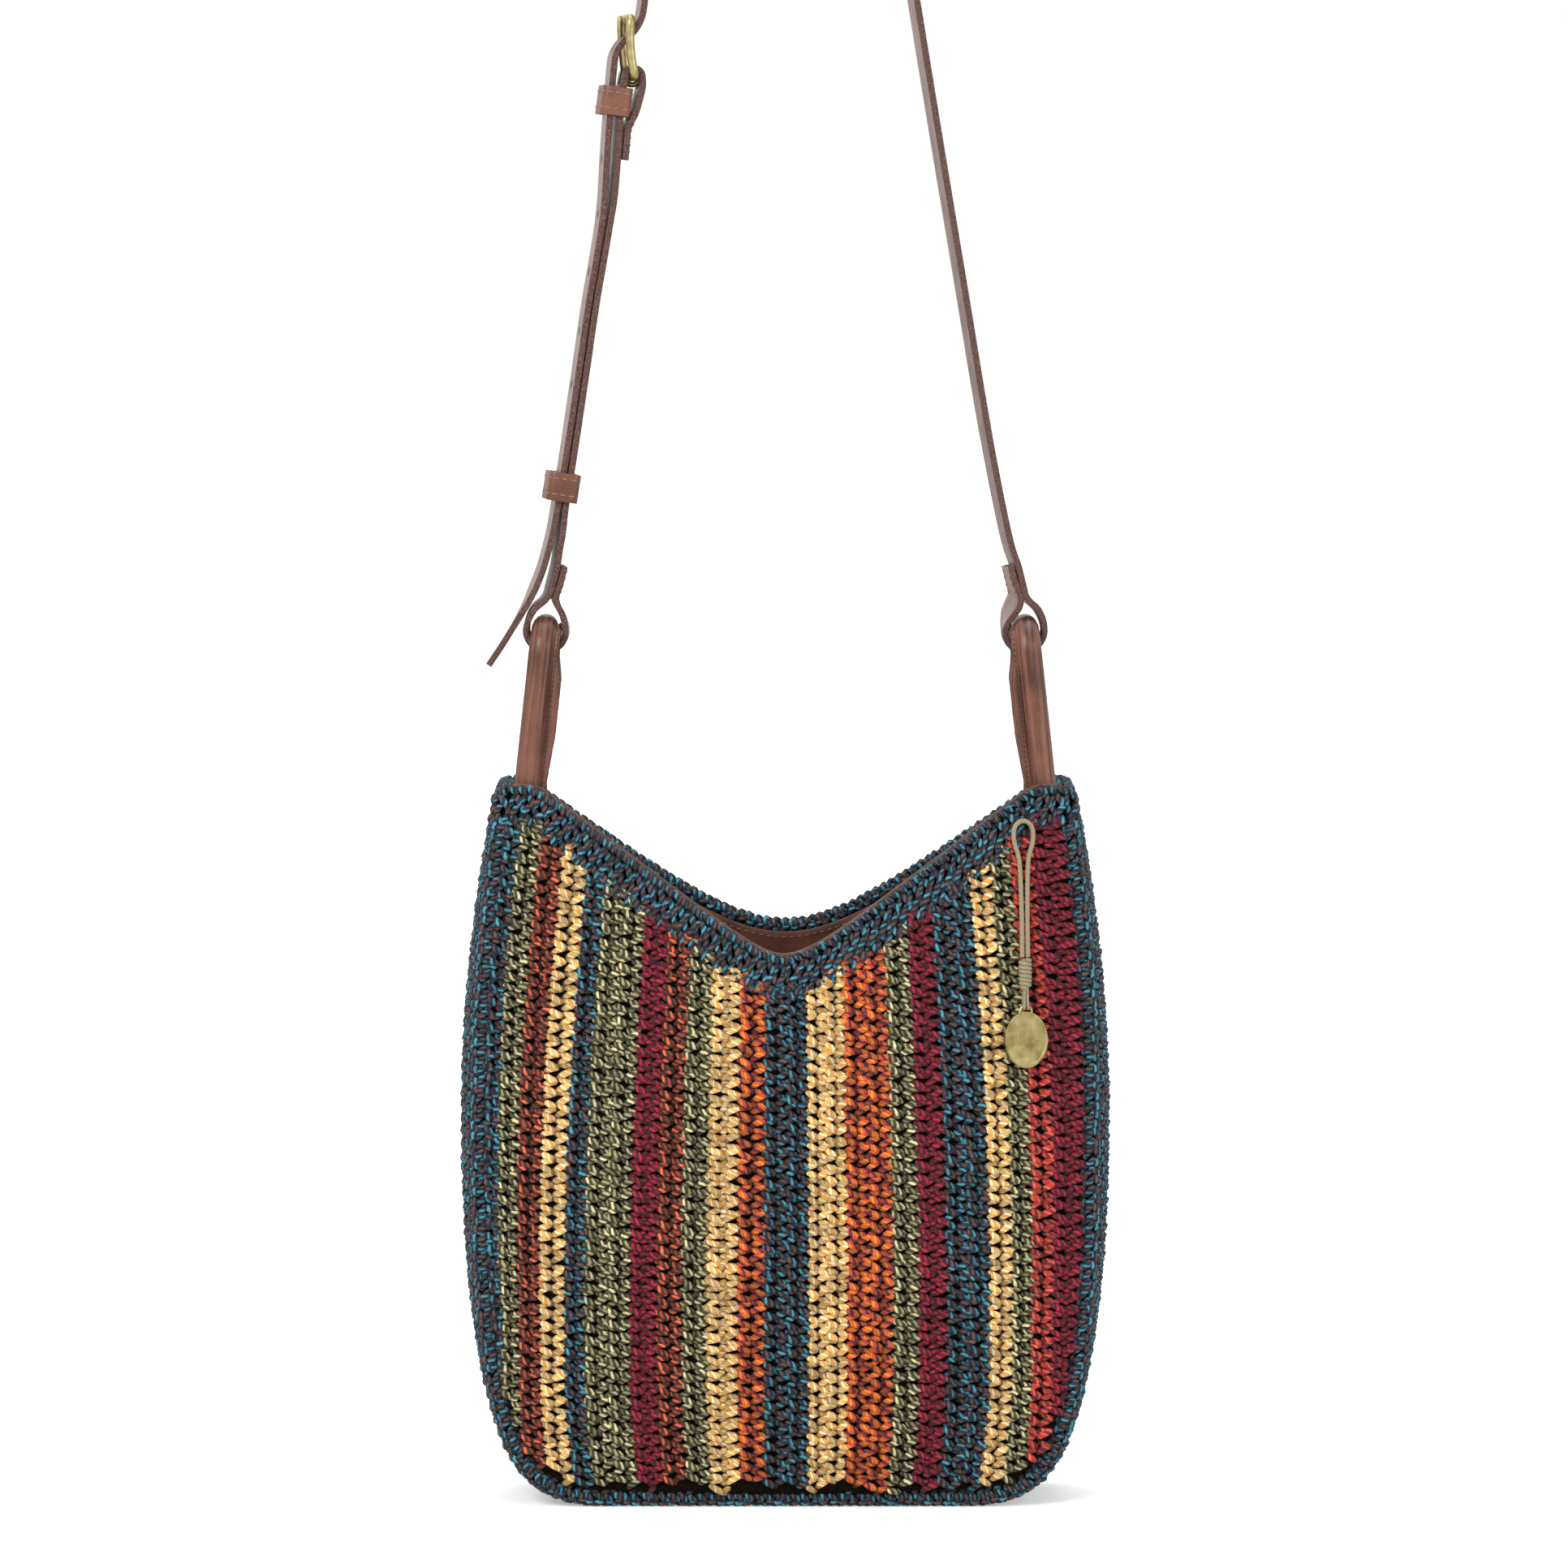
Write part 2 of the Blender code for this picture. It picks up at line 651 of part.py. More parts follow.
def strap_solid(name, path):
    """A flat strap along a path, its width across the path's plane."""
    bm = bmesh.new()
    rings = []
    for point, along in zip(path, tangents(path)):
        angle = strap_turn(point.z)
        across = Vector((-math.sin(angle), math.cos(angle), 0))
        across = (across - along * across.dot(along)).normalized()
        through = along.cross(across)
        ring = []
        for a, b in ((-1, -1), (1, -1), (1, 1), (-1, 1)):
            ring.append(point + across * (a * STRAP_W / 2) + through * (b * STRAP_T / 2))
        rings.append(ring)
    add_tube(bm, rings)
    leather = material("strap_leather", STRAP_LEATHER, 0.55)
    return new_object(name, bm, leather, smooth_angle=30)


def at_handle(side, x, z):
    """A point beside a handle's top bar, x outwards and z up from the bar's centre, in mm."""
    return Vector((side * (TOP_X + x * MM), 0, TOP_Z + z * MM))


def handle_loop(side):
    """Route of a strap end round a handle: up from its sewn tip, under the bar and away."""
    route = [(-7.7, 27.2), (-5.9, 20), (-4.3, 14.5), (-5.0, 10.5), (-7.6, 5.5), (-9.0, 0),
             (-8.4, -5), (-5.2, -8.3), (0, -9.0), (5.0, -7.4), (7.9, -2.8), (7.6, 2.8), (4.9, 8.4),
             (0.8, 12.2), (-1.1, 15), (-2.6, 20), (-4.4, 27.2)]
    return [at_handle(side, x, z) for x, z in route]


def xz(*points):
    """Points in the XZ plane, written in millimetres."""
    return [Vector((x * MM, 0, z * MM)) for x, z in points]


def crown():
    """Bend at the top of the strap, from the right to the left."""
    lean = math.atan(0.167)
    steps = 8
    points = []
    for i in range(steps + 1):
        angle = lean + (math.pi - 2 * lean) * i / steps
        points.append(Vector((CROWN_R * math.cos(angle), 0, CROWN_Z + CROWN_R * math.sin(angle))))
    return points


BUCKLE_CROSSING = xz((-61.3, 661), (-62.1, 653), (-63.3, 647), (-66.5, 641.4), (-71.4, 636.6),
                     (-74.4, 631.4), (-75.4, 624.4))
TAIL = xz((-76.0, 617.5), (-76.4, 611), (-77.0, 605), (-77.8, 595), (-78.5, 584), (-79.4, 569),
          (-80.9, 556), (-83.2, 542), (-85.7, 528), (-87.9, 514), (-89.9, 500), (-92.0, 486),
          (-94.1, 472), (-96.3, 458), (-98.7, 443), (-100.4, 434), (-101.8, 426), (-103.7, 418),
          (-106.6, 408), (-110.4, 398.5), (-114.9, 389.5), (-121.9, 377.5), (-129.2, 366.5))


def long_strap_path():
    right = handle_loop(1)
    leg = xz((96.0, 424), (87.1, 468.5), (76.7, 530), (66.2, 592), (55.6, 656), (43.4, 730),
             (30.9, 805), (25.0, 840))
    down = xz((-25.4, 840), (-32.0, 805), (-45.6, 730), (-57.2, 680))
    route = [*right, *leg, *crown(), *down, *BUCKLE_CROSSING, *TAIL]
    return [hang(point) for point in catmull_rom(route, 2)]


def buckle_strap_path():
    left = handle_loop(-1)
    leg = xz((-99.0, 418), (-97.8, 425), (-96.8, 434), (-95.4, 443), (-92.9, 458), (-90.8, 472),
             (-88.7, 486), (-86.6, 500), (-84.6, 514), (-82.4, 528), (-79.9, 542), (-77.5, 556),
             (-75.3, 569), (-73.9, 584), (-73.0, 595), (-72.5, 605), (-72.1, 611), (-71.4, 616))
    fold = []
    radius = BAR_R + GAP + STRAP_T / 2
    for i in range(7):
        angle = math.pi * (1 - i / 6)
        fold.append(HEEL_BAR + radius * Vector((math.cos(angle), 0, math.sin(angle))))
    back = xz((-62.9, 617.5), (-64.3, 611.5), (-66.0, 606), (-69.1, 599.5), (-69.8, 593),
              (-70.5, 586))
    return [hang(point) for point in catmull_rom([*left, *leg, *fold, *back], 2)]


def turned(angle_z, lean, place):
    """Places a piece that was made upright: leans it in the XZ plane, turns it, and moves it."""
    return (Matrix.Translation(place) @ Matrix.Rotation(angle_z, 4, "Z")
            @ Matrix.Rotation(lean, 4, "Y"))


def hole_cutter(name, place, along, length):
    """A round-ended cutter through the strap at a place, long along the strap."""
    bm = bmesh.new()
    radius = HOLE_W / 2
    reach = length / 2 - radius
    outline = []
    for k in range(12):
        angle = math.pi * 2 * (k + 0.5) / 12
        shift = reach if math.cos(angle) > 0 else -reach
        outline.append((radius * math.cos(angle) + shift, radius * math.sin(angle)))
    across = Vector((-math.sin(STRAP_TURN), math.cos(STRAP_TURN), 0))
    across = (across - along * across.dot(along)).normalized()
    through = along.cross(across)
    rings = []
    for depth in (-STRAP_T, STRAP_T):
        rings.append([place + along * a + across * b + through * depth for a, b in outline])
    add_tube(bm, rings)
    return new_object(name, bm)


def make_straps():
    path = long_strap_path()
    shoulder = strap_solid("shoulder_strap", path)
    crossing = hang(BUCKLE_CROSSING[4])
    hole_at = min(range(len(path)), key=lambda i: (path[i] - crossing).length)
    along = tangents(path)
    cutter = hole_cutter("hole_in_use", path[hole_at], along[hole_at], HOLE_LENGTH)
    cut(shoulder, cutter)
    walked, placed = 0.0, 0
    for i in range(hole_at + 1, len(path)):
        walked += (path[i] - path[i - 1]).length
        if walked >= HOLE_PITCH * (placed + 2) and placed < SPARE_HOLES:
            placed += 1
            cut(shoulder, hole_cutter(f"spare_hole_{placed}", path[i], along[i], HOLE_W))
    short = strap_solid("buckle_strap", buckle_strap_path())
    bm = bmesh.new()
    bmesh.ops.create_cone(bm, cap_ends=True, segments=16, radius1=8 * MM, radius2=8 * MM,
                          depth=SLOT_W)
    slot = new_object("prong_slot", bm)
    slot.matrix_world = (turned(STRAP_TURN, 0, HEEL_BAR + Vector((0, 0, 2.5 * MM)))
                         @ Matrix.Rotation(math.pi / 2, 4, "X"))
    cut(short, slot)
    return shoulder, short


# Buckle, keepers and charm

def rounded_loop(width, height, radius, steps=3):
    """Corner-rounded rectangle in Y and Z, about the middle."""
    points = []
    for sy, sz, start in ((1, 1, 0), (-1, 1, 1), (-1, -1, 2), (1, -1, 3)):
        for i in range(steps + 1):
            angle = math.pi / 2 * (start + i / steps)
            points.append(Vector((0, sy * (width / 2 - radius) + radius * math.cos(angle),
                                  sz * (height / 2 - radius) + radius * math.sin(angle))))
    return points


def make_buckle():
    width = STRAP_W + 1.5 * MM + 2 * BAR_R
    height = BUCKLE_H - 2 * BAR_R
    centre = Vector((0, 0, height / 2))
    loop = rounded_loop(width, height, 3 * MM)
    for point in loop:
        point.x = -1.1 * MM * (1 - (2 * point.z / height) ** 2)
    bm = bmesh.new()
    rings = []
    sides = 8
    for point, along in zip(loop, tangents(loop, closed=True)):
        side = Vector((1, 0, 0))
        inward = along.cross(side).normalized()
        rings.append([point + centre + BAR_R * (side * math.cos(2 * math.pi * k / sides)
                                                + inward * math.sin(2 * math.pi * k / sides))
                      for k in range(sides)])
    add_tube(bm, rings, closed=True)
    brass = material("antique_brass", ANTIQUE_BRASS, 0.35, 1.0)
    frame = new_object("buckle_frame", bm, brass, smooth_angle=70)
    place = turned(STRAP_TURN, -BUCKLE_LEAN, HEEL_BAR)
    frame.matrix_world = place

    bm = bmesh.new()
    hook_r = BAR_R + PRONG_CLEAR + PRONG_R
    reach = BUCKLE_H - 2 * BAR_R
    rest_x = -(BAR_R + PRONG_CLEAR + PRONG_R)
    route = []
    for i in range(8):
        angle = math.pi * (1.0 + 1.55 * i / 7)
        route.append(Vector((hook_r * math.cos(angle), 0, hook_r * math.sin(angle))))
    route.reverse()
    route += [Vector((rest_x - 0.4 * MM, 0, reach * 0.4)),
              Vector((rest_x - 0.4 * MM, 0, reach * 0.8)),
              Vector((rest_x, 0, reach)),
              Vector((rest_x + 0.5 * MM, 0, reach + 3.6 * MM))]
    rings = []
    sides = 8
    for i, (point, along) in enumerate(zip(route, tangents(route))):
        side = Vector((0, 1, 0))
        other = along.cross(side)
        radius = PRONG_R * (0.7 if i == len(route) - 1 else 1.0)
        rings.append([point + radius * (side * math.cos(2 * math.pi * k / sides)
                                        + other * math.sin(2 * math.pi * k / sides))
                      for k in range(sides)])
    add_tube(bm, rings)
    prong = new_object("buckle_prong", bm, brass, smooth_angle=70)
    prong.matrix_world = place
    return frame, prong


def make_keeper(name, place, inside, lean):
    """A leather band round the strap layers, with its opening along the strap."""
    width = STRAP_W + 2 * KEEPER_W_CLEAR
    bm = bmesh.new()
    rings = []
    for z in (-KEEPER_H / 2, KEEPER_H / 2):
        for grow in ((0.0, KEEPER_T) if z < 0 else (KEEPER_T, 0.0)):
            radius = 1.5 * MM + grow
            loop = rounded_loop(width + 2 * grow, inside + 2 * grow, radius, steps=2)
            rings.append([Vector((p.z, p.y, z)) for p in loop])
    add_tube(bm, rings, closed=True)
    keeper = new_object(name, bm, material("keeper_leather", HANDLE_LEATHER, 0.45))
    keeper.matrix_world = turned(STRAP_TURN, lean, hang(place))
    return keeper


def charm_matrix():
    """Frame at the top of the charm's cord, with -Z down the cord and -Y off the panel."""
    u = CHARM_X / column_x(1.0, CHARM_Z)
    surface = half_depth(u, CHARM_Z, True) + CROCHET / 2 + RIDGE
    place = Vector((CHARM_X, -(surface + GAP + CHARM_CORD_R + 0.5 * MM), CHARM_Z))
    return (Matrix.Translation(place) @ Matrix.Rotation(CHARM_TURN, 4, "Z")
            @ Matrix.Rotation(-CHARM_LEAN, 4, "X"))


def charm_cord_points():
    """The doubled cord in the charm's frame: down one strand from the stitch and up the other."""
    low = -CHARM_LENGTH
    wide = 4.3 * MM
    key = [(-CHARM_STRAND, low), (-CHARM_STRAND, low * 0.7), (-CHARM_STRAND - 0.3 * MM, low * 0.42),
           (-2.2 * MM, -15 * MM), (-3.9 * MM, -9 * MM), (-wide, -4 * MM), (-3.1 * MM, -0.6 * MM),
           (0, 1.0 * MM), (3.1 * MM, -0.6 * MM), (wide, -4 * MM), (3.9 * MM, -9 * MM),
           (2.2 * MM, -15 * MM), (CHARM_STRAND + 0.3 * MM, low * 0.42), (CHARM_STRAND, low * 0.7),
           (CHARM_STRAND, low)]
    smooth = catmull_rom([(x, 0, z) for x, z in key], 8)
    spacing = 2.5 * 2 * CHARM_CORD_R
    chosen = [smooth[0]]
    for point in smooth[1:-1]:
        if (point - chosen[-1]).length >= spacing and (point - smooth[-1]).length >= spacing / 2:
            chosen.append(point)
    return chosen + [smooth[-1]]


def make_charm_cord(frame, tint):
    curve = bpy.data.curves.new("charm_cord", "CURVE")
    curve.dimensions = "3D"
    curve.bevel_depth = CHARM_CORD_R
    curve.bevel_resolution = 2
    curve.use_fill_caps = True
    points = charm_cord_points()
    spline = curve.splines.new("POLY")
    spline.points.add(len(points) - 1)
    for spot, point in zip(spline.points, points):
        spot.co = (*point, 1.0)
    curve.materials.append(tint)
    obj = bpy.data.objects.new("charm_cord", curve)
    obj.matrix_world = frame
    bpy.context.scene.collection.objects.link(obj)
    return obj


def make_charm():
    frame = charm_matrix()
    cord = material("charm_cord", CHARM_CORD, 0.8)
    loop = make_charm_cord(frame, cord)
    down = -CHARM_LENGTH

    bm = bmesh.new()
    top = down - GAP
    turns, sides = 7, 10
    rings = []
    tail_top = top - WRAP_L
    for i in range(2 * turns + 1):
        z = top - WRAP_L * i / (2 * turns)
        radius = WRAP_R - (0.35 * MM if i % 2 == 0 else 0.0)
        rings.append([Vector((radius * math.cos(2 * math.pi * k / sides),
                              0.8 * radius * math.sin(2 * math.pi * k / sides), z))
                      for k in range(sides)])
    for z in (tail_top - 0.4 * MM, tail_top - TAIL_L):
        rings.append([Vector((TAIL_R * math.cos(2 * math.pi * k / sides),
                              0.75 * TAIL_R * math.sin(2 * math.pi * k / sides), z))
                      for k in range(sides)])
    add_tube(bm, rings)
    wrap = new_object("charm_wrap", bm, cord)
    wrap.matrix_world = frame

    brass = material("antique_brass", ANTIQUE_BRASS, 0.35, 1.0)
    bm = bmesh.new()
    bail_z = tail_top - TAIL_L - GAP - BAIL_WIRE_R
    disc_z = bail_z - BAIL_R * 0.9 - DISC_H / 2
    rings = []
    segments = 28
    for y, share in ((0.5, 0.95), (0.25, 1.0), (-0.25, 1.0), (-0.5, 0.93)):
        rings.append([Vector((DISC_W / 2 * share * math.cos(2 * math.pi * k / segments),
                              DISC_T * y,
                              disc_z + DISC_H / 2 * share * math.sin(2 * math.pi * k / segments)))
                      for k in range(segments)])
    add_tube(bm, rings)
    disc = new_object("charm_disc", bm, brass, smooth_angle=35)
    bm = bmesh.new()
    rings = []
    around, sides = 14, 6
    for i in range(around):
        angle = 2 * math.pi * i / around
        out = Vector((math.cos(angle), 0, math.sin(angle)))
        rings.append([Vector((0, 0.3 * MM, bail_z - BAIL_R)) + out * BAIL_R
                      + BAIL_WIRE_R * (out * math.cos(2 * math.pi * k / sides)
                                       + Vector((0, math.sin(2 * math.pi * k / sides), 0)))
                      for k in range(sides)])
    add_tube(bm, rings, closed=True)
    bail = new_object("bail_ring", bm, brass)
    join(disc, bail)
    disc.matrix_world = frame
    bail.matrix_world = frame
    return loop, wrap, disc


def main():
    clear_scene()
    make_panel("front_panel", True)
    make_panel("back_panel", False)
    make_gusset()
    make_braid("front_seam_braid", -SEAM_Y)
    make_braid("back_seam_braid", SEAM_Y)
    make_border()
    make_facing()
    make_lining()
    for name, side in (("left_handle", -1), ("right_handle", 1)):
        make_handle(name, side)
    make_straps()
    make_buckle()
    make_keeper("fixed_keeper", FIXED_KEEPER_AT, FIXED_KEEPER_INSIDE, FIXED_KEEPER_LEAN)
    make_keeper("sliding_keeper", SLIDING_KEEPER_AT, SLIDING_KEEPER_INSIDE, SLIDING_KEEPER_LEAN)
    make_charm()


main()
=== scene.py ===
"""Looks of the striped crossbody bag: crocheted yarn, rolled leather, strap, brass and charm.

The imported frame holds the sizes. The stitches follow the same outline as the crocheted walls of
the frame, so the shape of the body is given here once more, in metres.
"""

import math

import bmesh
import bpy
import numpy as np
from mathutils import Matrix, Vector


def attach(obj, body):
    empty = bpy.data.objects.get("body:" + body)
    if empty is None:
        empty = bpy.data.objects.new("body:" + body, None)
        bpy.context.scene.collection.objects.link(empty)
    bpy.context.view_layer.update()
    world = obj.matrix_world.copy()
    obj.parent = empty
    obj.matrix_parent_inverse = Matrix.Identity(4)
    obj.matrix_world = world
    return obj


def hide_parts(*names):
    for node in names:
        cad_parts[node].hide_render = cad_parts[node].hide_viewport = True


MM = 0.001                    # sizes are in metres, written as millimetres
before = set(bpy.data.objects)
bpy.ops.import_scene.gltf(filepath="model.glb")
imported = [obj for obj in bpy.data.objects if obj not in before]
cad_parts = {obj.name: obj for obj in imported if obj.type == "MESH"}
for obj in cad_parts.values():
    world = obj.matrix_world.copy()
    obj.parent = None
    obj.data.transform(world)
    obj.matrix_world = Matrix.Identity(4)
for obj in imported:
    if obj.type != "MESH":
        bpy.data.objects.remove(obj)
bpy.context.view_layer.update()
rng = np.random.default_rng(12)

# Shape of the crocheted body
GAP = 0.3 * MM                # clearance between pieces that don't touch
CROCHET = 4.5 * MM            # thickness of the crocheted fabric
RIDGE = 0.8 * MM              # height of a ridge on it
BRAID_R = 3.2 * MM
SEAM_Y = 29.0 * MM
WIDEST_Z = 165.0 * MM
BASE_Z = 3.5 * MM
SIDE_POWER = 2.5
BASE_POWER = 9.5
BASE_FLAT = 1.004
CORNER_TOP_Z = 85.0 * MM
TOP_TAPER = 0.53
PANEL_BULGE = 16.0 * MM
BULGE_START = 15.0 * MM
BULGE_SPAN = 330.0 * MM
GUSSET_SWELL = 4.0 * MM
BASE_SWELL = 1.25 * MM
GUSSET_ROWS = 8
FOLD_U = 0.045
FOLD_WIDTH_U = 0.085
FOLD_DEPTH = 6.0 * MM
FOLD_POWER = 1.3
BULGE_POWER = 2.4
EDGE_POWER = 6                # how late the stripes turn to follow the outline
# Where the stripes are drawn in above and below: from a height, by a share, over a height, power
DRAWN_IN_ABOVE = (90.0 * MM, 0.125, 200.0 * MM, 1.6)
DRAWN_IN_BELOW = (60.0 * MM, 0.035, 40.0 * MM, 2)
GUSSET_SWELL_Z = 30.0 * MM
SEAM_TUCK = 1.0 * MM          # how far the seams run up under the border
RIM_ROLL = 2.0 * MM           # depth of the rolled edge's middle below the rim

# Opening
CORNER_Z = 314.5 * MM
FRONT_LOW_Z = 241.0 * MM
BACK_LOW_Z = 250.5 * MM
FRONT_RIM_CURVE = 12.0 * MM
BACK_RIM_CURVE = 35.0 * MM
RIM_SLOPE = 0.76
RIM_BLEND = 3.5 * MM
BORDER_H = 15.0 * MM
FACING = 1.2 * MM

# Stripes of a panel from its left edge, as yarn, ridges and width
STRIPES = [
    ("navy", 1, 4.9 * MM), ("olive", 1, 8.0 * MM), ("rust", 1, 10.0 * MM),
    ("ivory", 1, 10.9 * MM), ("navy", 1, 9.0 * MM), ("olive", 2, 19.9 * MM),
    ("burgundy", 1, 11.6 * MM), ("rust", 1, 10.8 * MM), ("olive", 1, 11.0 * MM),
    ("ivory", 1, 13.3 * MM), ("orange", 1, 11.4 * MM), ("navy", 2, 19.6 * MM),
    ("ivory", 2, 16.7 * MM), ("orange", 2, 19.9 * MM), ("olive", 1, 11.4 * MM),
    ("burgundy", 1, 12.0 * MM), ("navy", 2, 18.9 * MM), ("ivory", 1, 9.6 * MM),
    ("olive", 1, 9.0 * MM), ("coral", 1, 9.4 * MM), ("burgundy", 1, 12.7 * MM),
]
PANEL_HALF = sum(width for _, _, width in STRIPES) / 2
SEAM_INSET = BRAID_R + GAP
WIDEST_HALF = PANEL_HALF + SEAM_INSET
CORNER_R = SEAM_INSET + BASE_SWELL

# Yarn
YARN_R = 1.42 * MM
STITCH = 5.75 * MM            # two strands make a stitch
PLY_TURN = 5.2 * MM           # length of yarn in which the plies go round once
WIDE_RIDGE = 11.5 * MM        # a ridge wider than this has loops in its middle
LOW_IN_FABRIC = 0.35 * MM     # strands are in shade below this height over the fabric's middle
HIGH_IN_FABRIC = 2.3 * MM     # and in full light above this
SHADE_SHEET_HALF = 0.3 * MM         # half the thickness of the near-black sheet between the strands, painted shade
SEAM_CORE_R = 2.2 * MM
ROW_INNER = 0.55 * MM         # height of a strand's end in the groove between two rows
ROW_OUTER = 1.5 * MM          # and of its end on the ridge
ROW_SHIFT = 0.3 * MM
ROW_OVERLAP = 0.5 * MM
ROW_FOOT = 1.0 * MM           # the rows start so far above the panel's foot
ROW_TUCK = 1.5 * MM           # and end so far under the border
# The two strands of a stitch. Pairs are a mean and how far the strands vary from it, but
# stray is how far they vary across the row and along it.
ROW_STRANDS = [
    {"later": 0.0, "ahead": 0.0, "stray": (0.16 * MM, 0.3 * MM), "width": (1.06, 0.06),
     "slant": (3.0 * MM, 0.6 * MM), "arch": (1.4 * MM, 0.2 * MM), "girth": (1.12, 0.06),
     "curl": 0.4 * MM},
    {"later": 0.5, "ahead": -0.2 * MM, "stray": (0.2 * MM, 0.35 * MM), "width": (1.0, 0.07),
     "slant": (-1.3 * MM, 0.8 * MM), "arch": (1.0 * MM, 0.22 * MM), "girth": (1.02, 0.06),
     "curl": -0.3 * MM},
]
BORDER_ROWS = [(5.2 * MM, 5.2 * MM, 1), (9.6 * MM, 5.0 * MM, -1), (13.6 * MM, 4.6 * MM, 1)]
# Chains over the rim and round a seam: angle, slant, height and share of the light
RIM_CHAINS = [(1.05, 3.9 * MM, 1.1 * MM, 1.0), (-0.25, -3.9 * MM, 1.2 * MM, 1.0),
              (-1.4, 3.9 * MM, 2.0 * MM, 1.0), (-2.05, -3.9 * MM, 2.6 * MM, 1.0)]
SEAM_CHAINS = [(0.75, 5.0 * MM, 2.1 * MM, 1.0), (-0.6, -4.6 * MM, 2.0 * MM, 1.0),
               (2.0, -4.8 * MM, 2.2 * MM, 0.85), (2.8, 4.4 * MM, 3.2 * MM, 0.35)]
RIM_CHAIN_W = 1.925 * MM
SEAM_CHAIN_W = 3.04 * MM
RIM_PITCH = 3.9 * MM
SEAM_PITCH = 4.1 * MM
YARNS = {
    "navy": [(0.062, 0.27, 0.345), (0.008, 0.012, 0.032), (0.125, 0.066, 0.05), (0.009, 0.022, 0.055)],
    "olive": [(0.055, 0.058, 0.024), (0.72, 0.64, 0.36), (0.045, 0.047, 0.02), (0.34, 0.31, 0.15)],
    "rust": [(0.036, 0.026, 0.017), (0.84, 0.14, 0.06), (0.045, 0.026, 0.016), (0.34, 0.05, 0.025)],
    "ivory": [(0.95, 0.74, 0.38), (0.84, 0.38, 0.065), (1.0, 0.84, 0.52), (0.86, 0.50, 0.14)],
    "burgundy": [(0.36, 0.009, 0.032), (0.042, 0.010, 0.018), (0.42, 0.014, 0.045),
                 (0.075, 0.008, 0.018)],
    "orange": [(0.84, 0.26, 0.028), (0.66, 0.07, 0.034), (0.09, 0.024, 0.045), (0.70, 0.125, 0.03)],
    "coral": [(0.76, 0.075, 0.045), (0.12, 0.025, 0.045), (0.80, 0.12, 0.055), (0.46, 0.04, 0.035)],
}

# Handles, strap, buckle, keepers and charm
FACING_H = 24.0 * MM
FACING_SEAM = 2.6 * MM         # from its upper edge down to its stitches
FACING_STITCH = 2.1 * MM
FACING_PITCH = 3.4 * MM
FACING_FRONT = -1.7 * MM       # the facing's upper edge stands above the front's rim
FACING_BACK = 4.6 * MM         # and lies below the back's
TUBE_R = 5.65 * MM
WELT = 3.4 * MM
WELT_AT_FOOT = 1.8 * MM
WELT_AT_TOP = 1.5 * MM
WELT_PITCH = 2.2 * MM          # of its stitches, and of the waves that they pull into its edge
WELT_WAVE = 0.14 * MM
WELT_STITCH = 1.44 * MM
# Half of the welt's edge: beyond the tube in mm, share of the welt, half thickness in mm
WELT_EDGE = [(-0.45, 1, 0.0), (-0.05, 1, 0.35), (0, 1, 0.8), (-0.15, 1, 1.25), (-0.55, 1, 1.5),
             (0.1, 0.25, 1.42)]
FOOT_X = 112.2 * MM
FOOT_Z = 293.0 * MM
TOP_X = 104.8 * MM
TOP_Z = 382.4 * MM
BEND_R = 10.0 * MM
STRAP_W = 20.0 * MM
STRAP_T = 2.8 * MM
STRAP_ROUND = 0.6 * MM
STRAP_TURN = math.radians(7.5)
TURN_LOW = 18.0 * MM
TURN_HIGH = 180.0 * MM
STRAP_LEAN = 0.17
CROWN_R = 20.0 * MM
CROWN_Z = 868.0 * MM
HOLE_LENGTH = 12.0 * MM
HOLE_W = 4.2 * MM
HOLE_PITCH = 25.0 * MM
SPARE_HOLES = 5
LAP_TWIST = math.radians(13)   # the sewn end on the right shows its face towards the front
LAP_STITCH = 2.0 * MM
LAP_PITCH = 3.1 * MM
LAP_INSET = 2.6 * MM
LAP_SEWN = (2.0 * MM, 11.5 * MM)    # from a strap's end, where it is sewn below a handle
STRAP_SHARP = math.radians(38)
SLOT_L = 16.0 * MM
BAR_R = 1.9 * MM
BUCKLE_H = 29.0 * MM
BUCKLE_LINE_H = BUCKLE_H - 2 * BAR_R               # height and width of the frame, measured
BUCKLE_LINE_W = STRAP_W + 1.5 * MM + 2 * BAR_R     # along the middle of its bar
BUCKLE_CORNER = 3.0 * MM
BUCKLE_BOW = 1.1 * MM
BUCKLE_LEAN = math.radians(4)
HEEL_BAR = (-66.6 * MM, 0.0, 621.8 * MM)
PRONG_R = 1.2 * MM
PRONG_CLEAR = 0.25 * MM
SLOT_W = 6.0 * MM
KEEPER_T = 1.6 * MM
KEEPER_H = 12.5 * MM
KEEPER_W_CLEAR = 0.8 * MM
KEEPER_CORNER = 1.5 * MM
KEEPER_STITCH = 2.5 * MM
KEEPER_PITCH = 3.7 * MM
KEEPER_ROWS = (-KEEPER_H / 2 + 3.0 * MM, KEEPER_H / 2 - 2.6 * MM)
# Place, inner thickness and lean of each keeper
FIXED_KEEPER = ((-74.3 * MM, 0, 611.3 * MM), 9.9 * MM, math.radians(8))
LOOSE_KEEPER = ((-97.6 * MM, 0, 444.0 * MM), 10.6 * MM, math.atan(0.155))
CHARM_X = 103.0 * MM
CHARM_Z = 299.8 * MM
CHARM_CORD_R = 1.05 * MM
CHARM_STRAND = 1.25 * MM
CHARM_LENGTH = 58.0 * MM
CHARM_TURN = math.radians(11)
CHARM_LEAN = math.radians(4.2)
WRAP_R = 2.9 * MM
WRAP_L = 14.0 * MM
WRAP_TURNS = 8
TAIL_L = 6.0 * MM
DISC_W = 19.0 * MM
DISC_H = 24.5 * MM
DISC_T = 1.8 * MM
BAIL_R = 2.6 * MM
BAIL_WIRE_R = 0.7 * MM

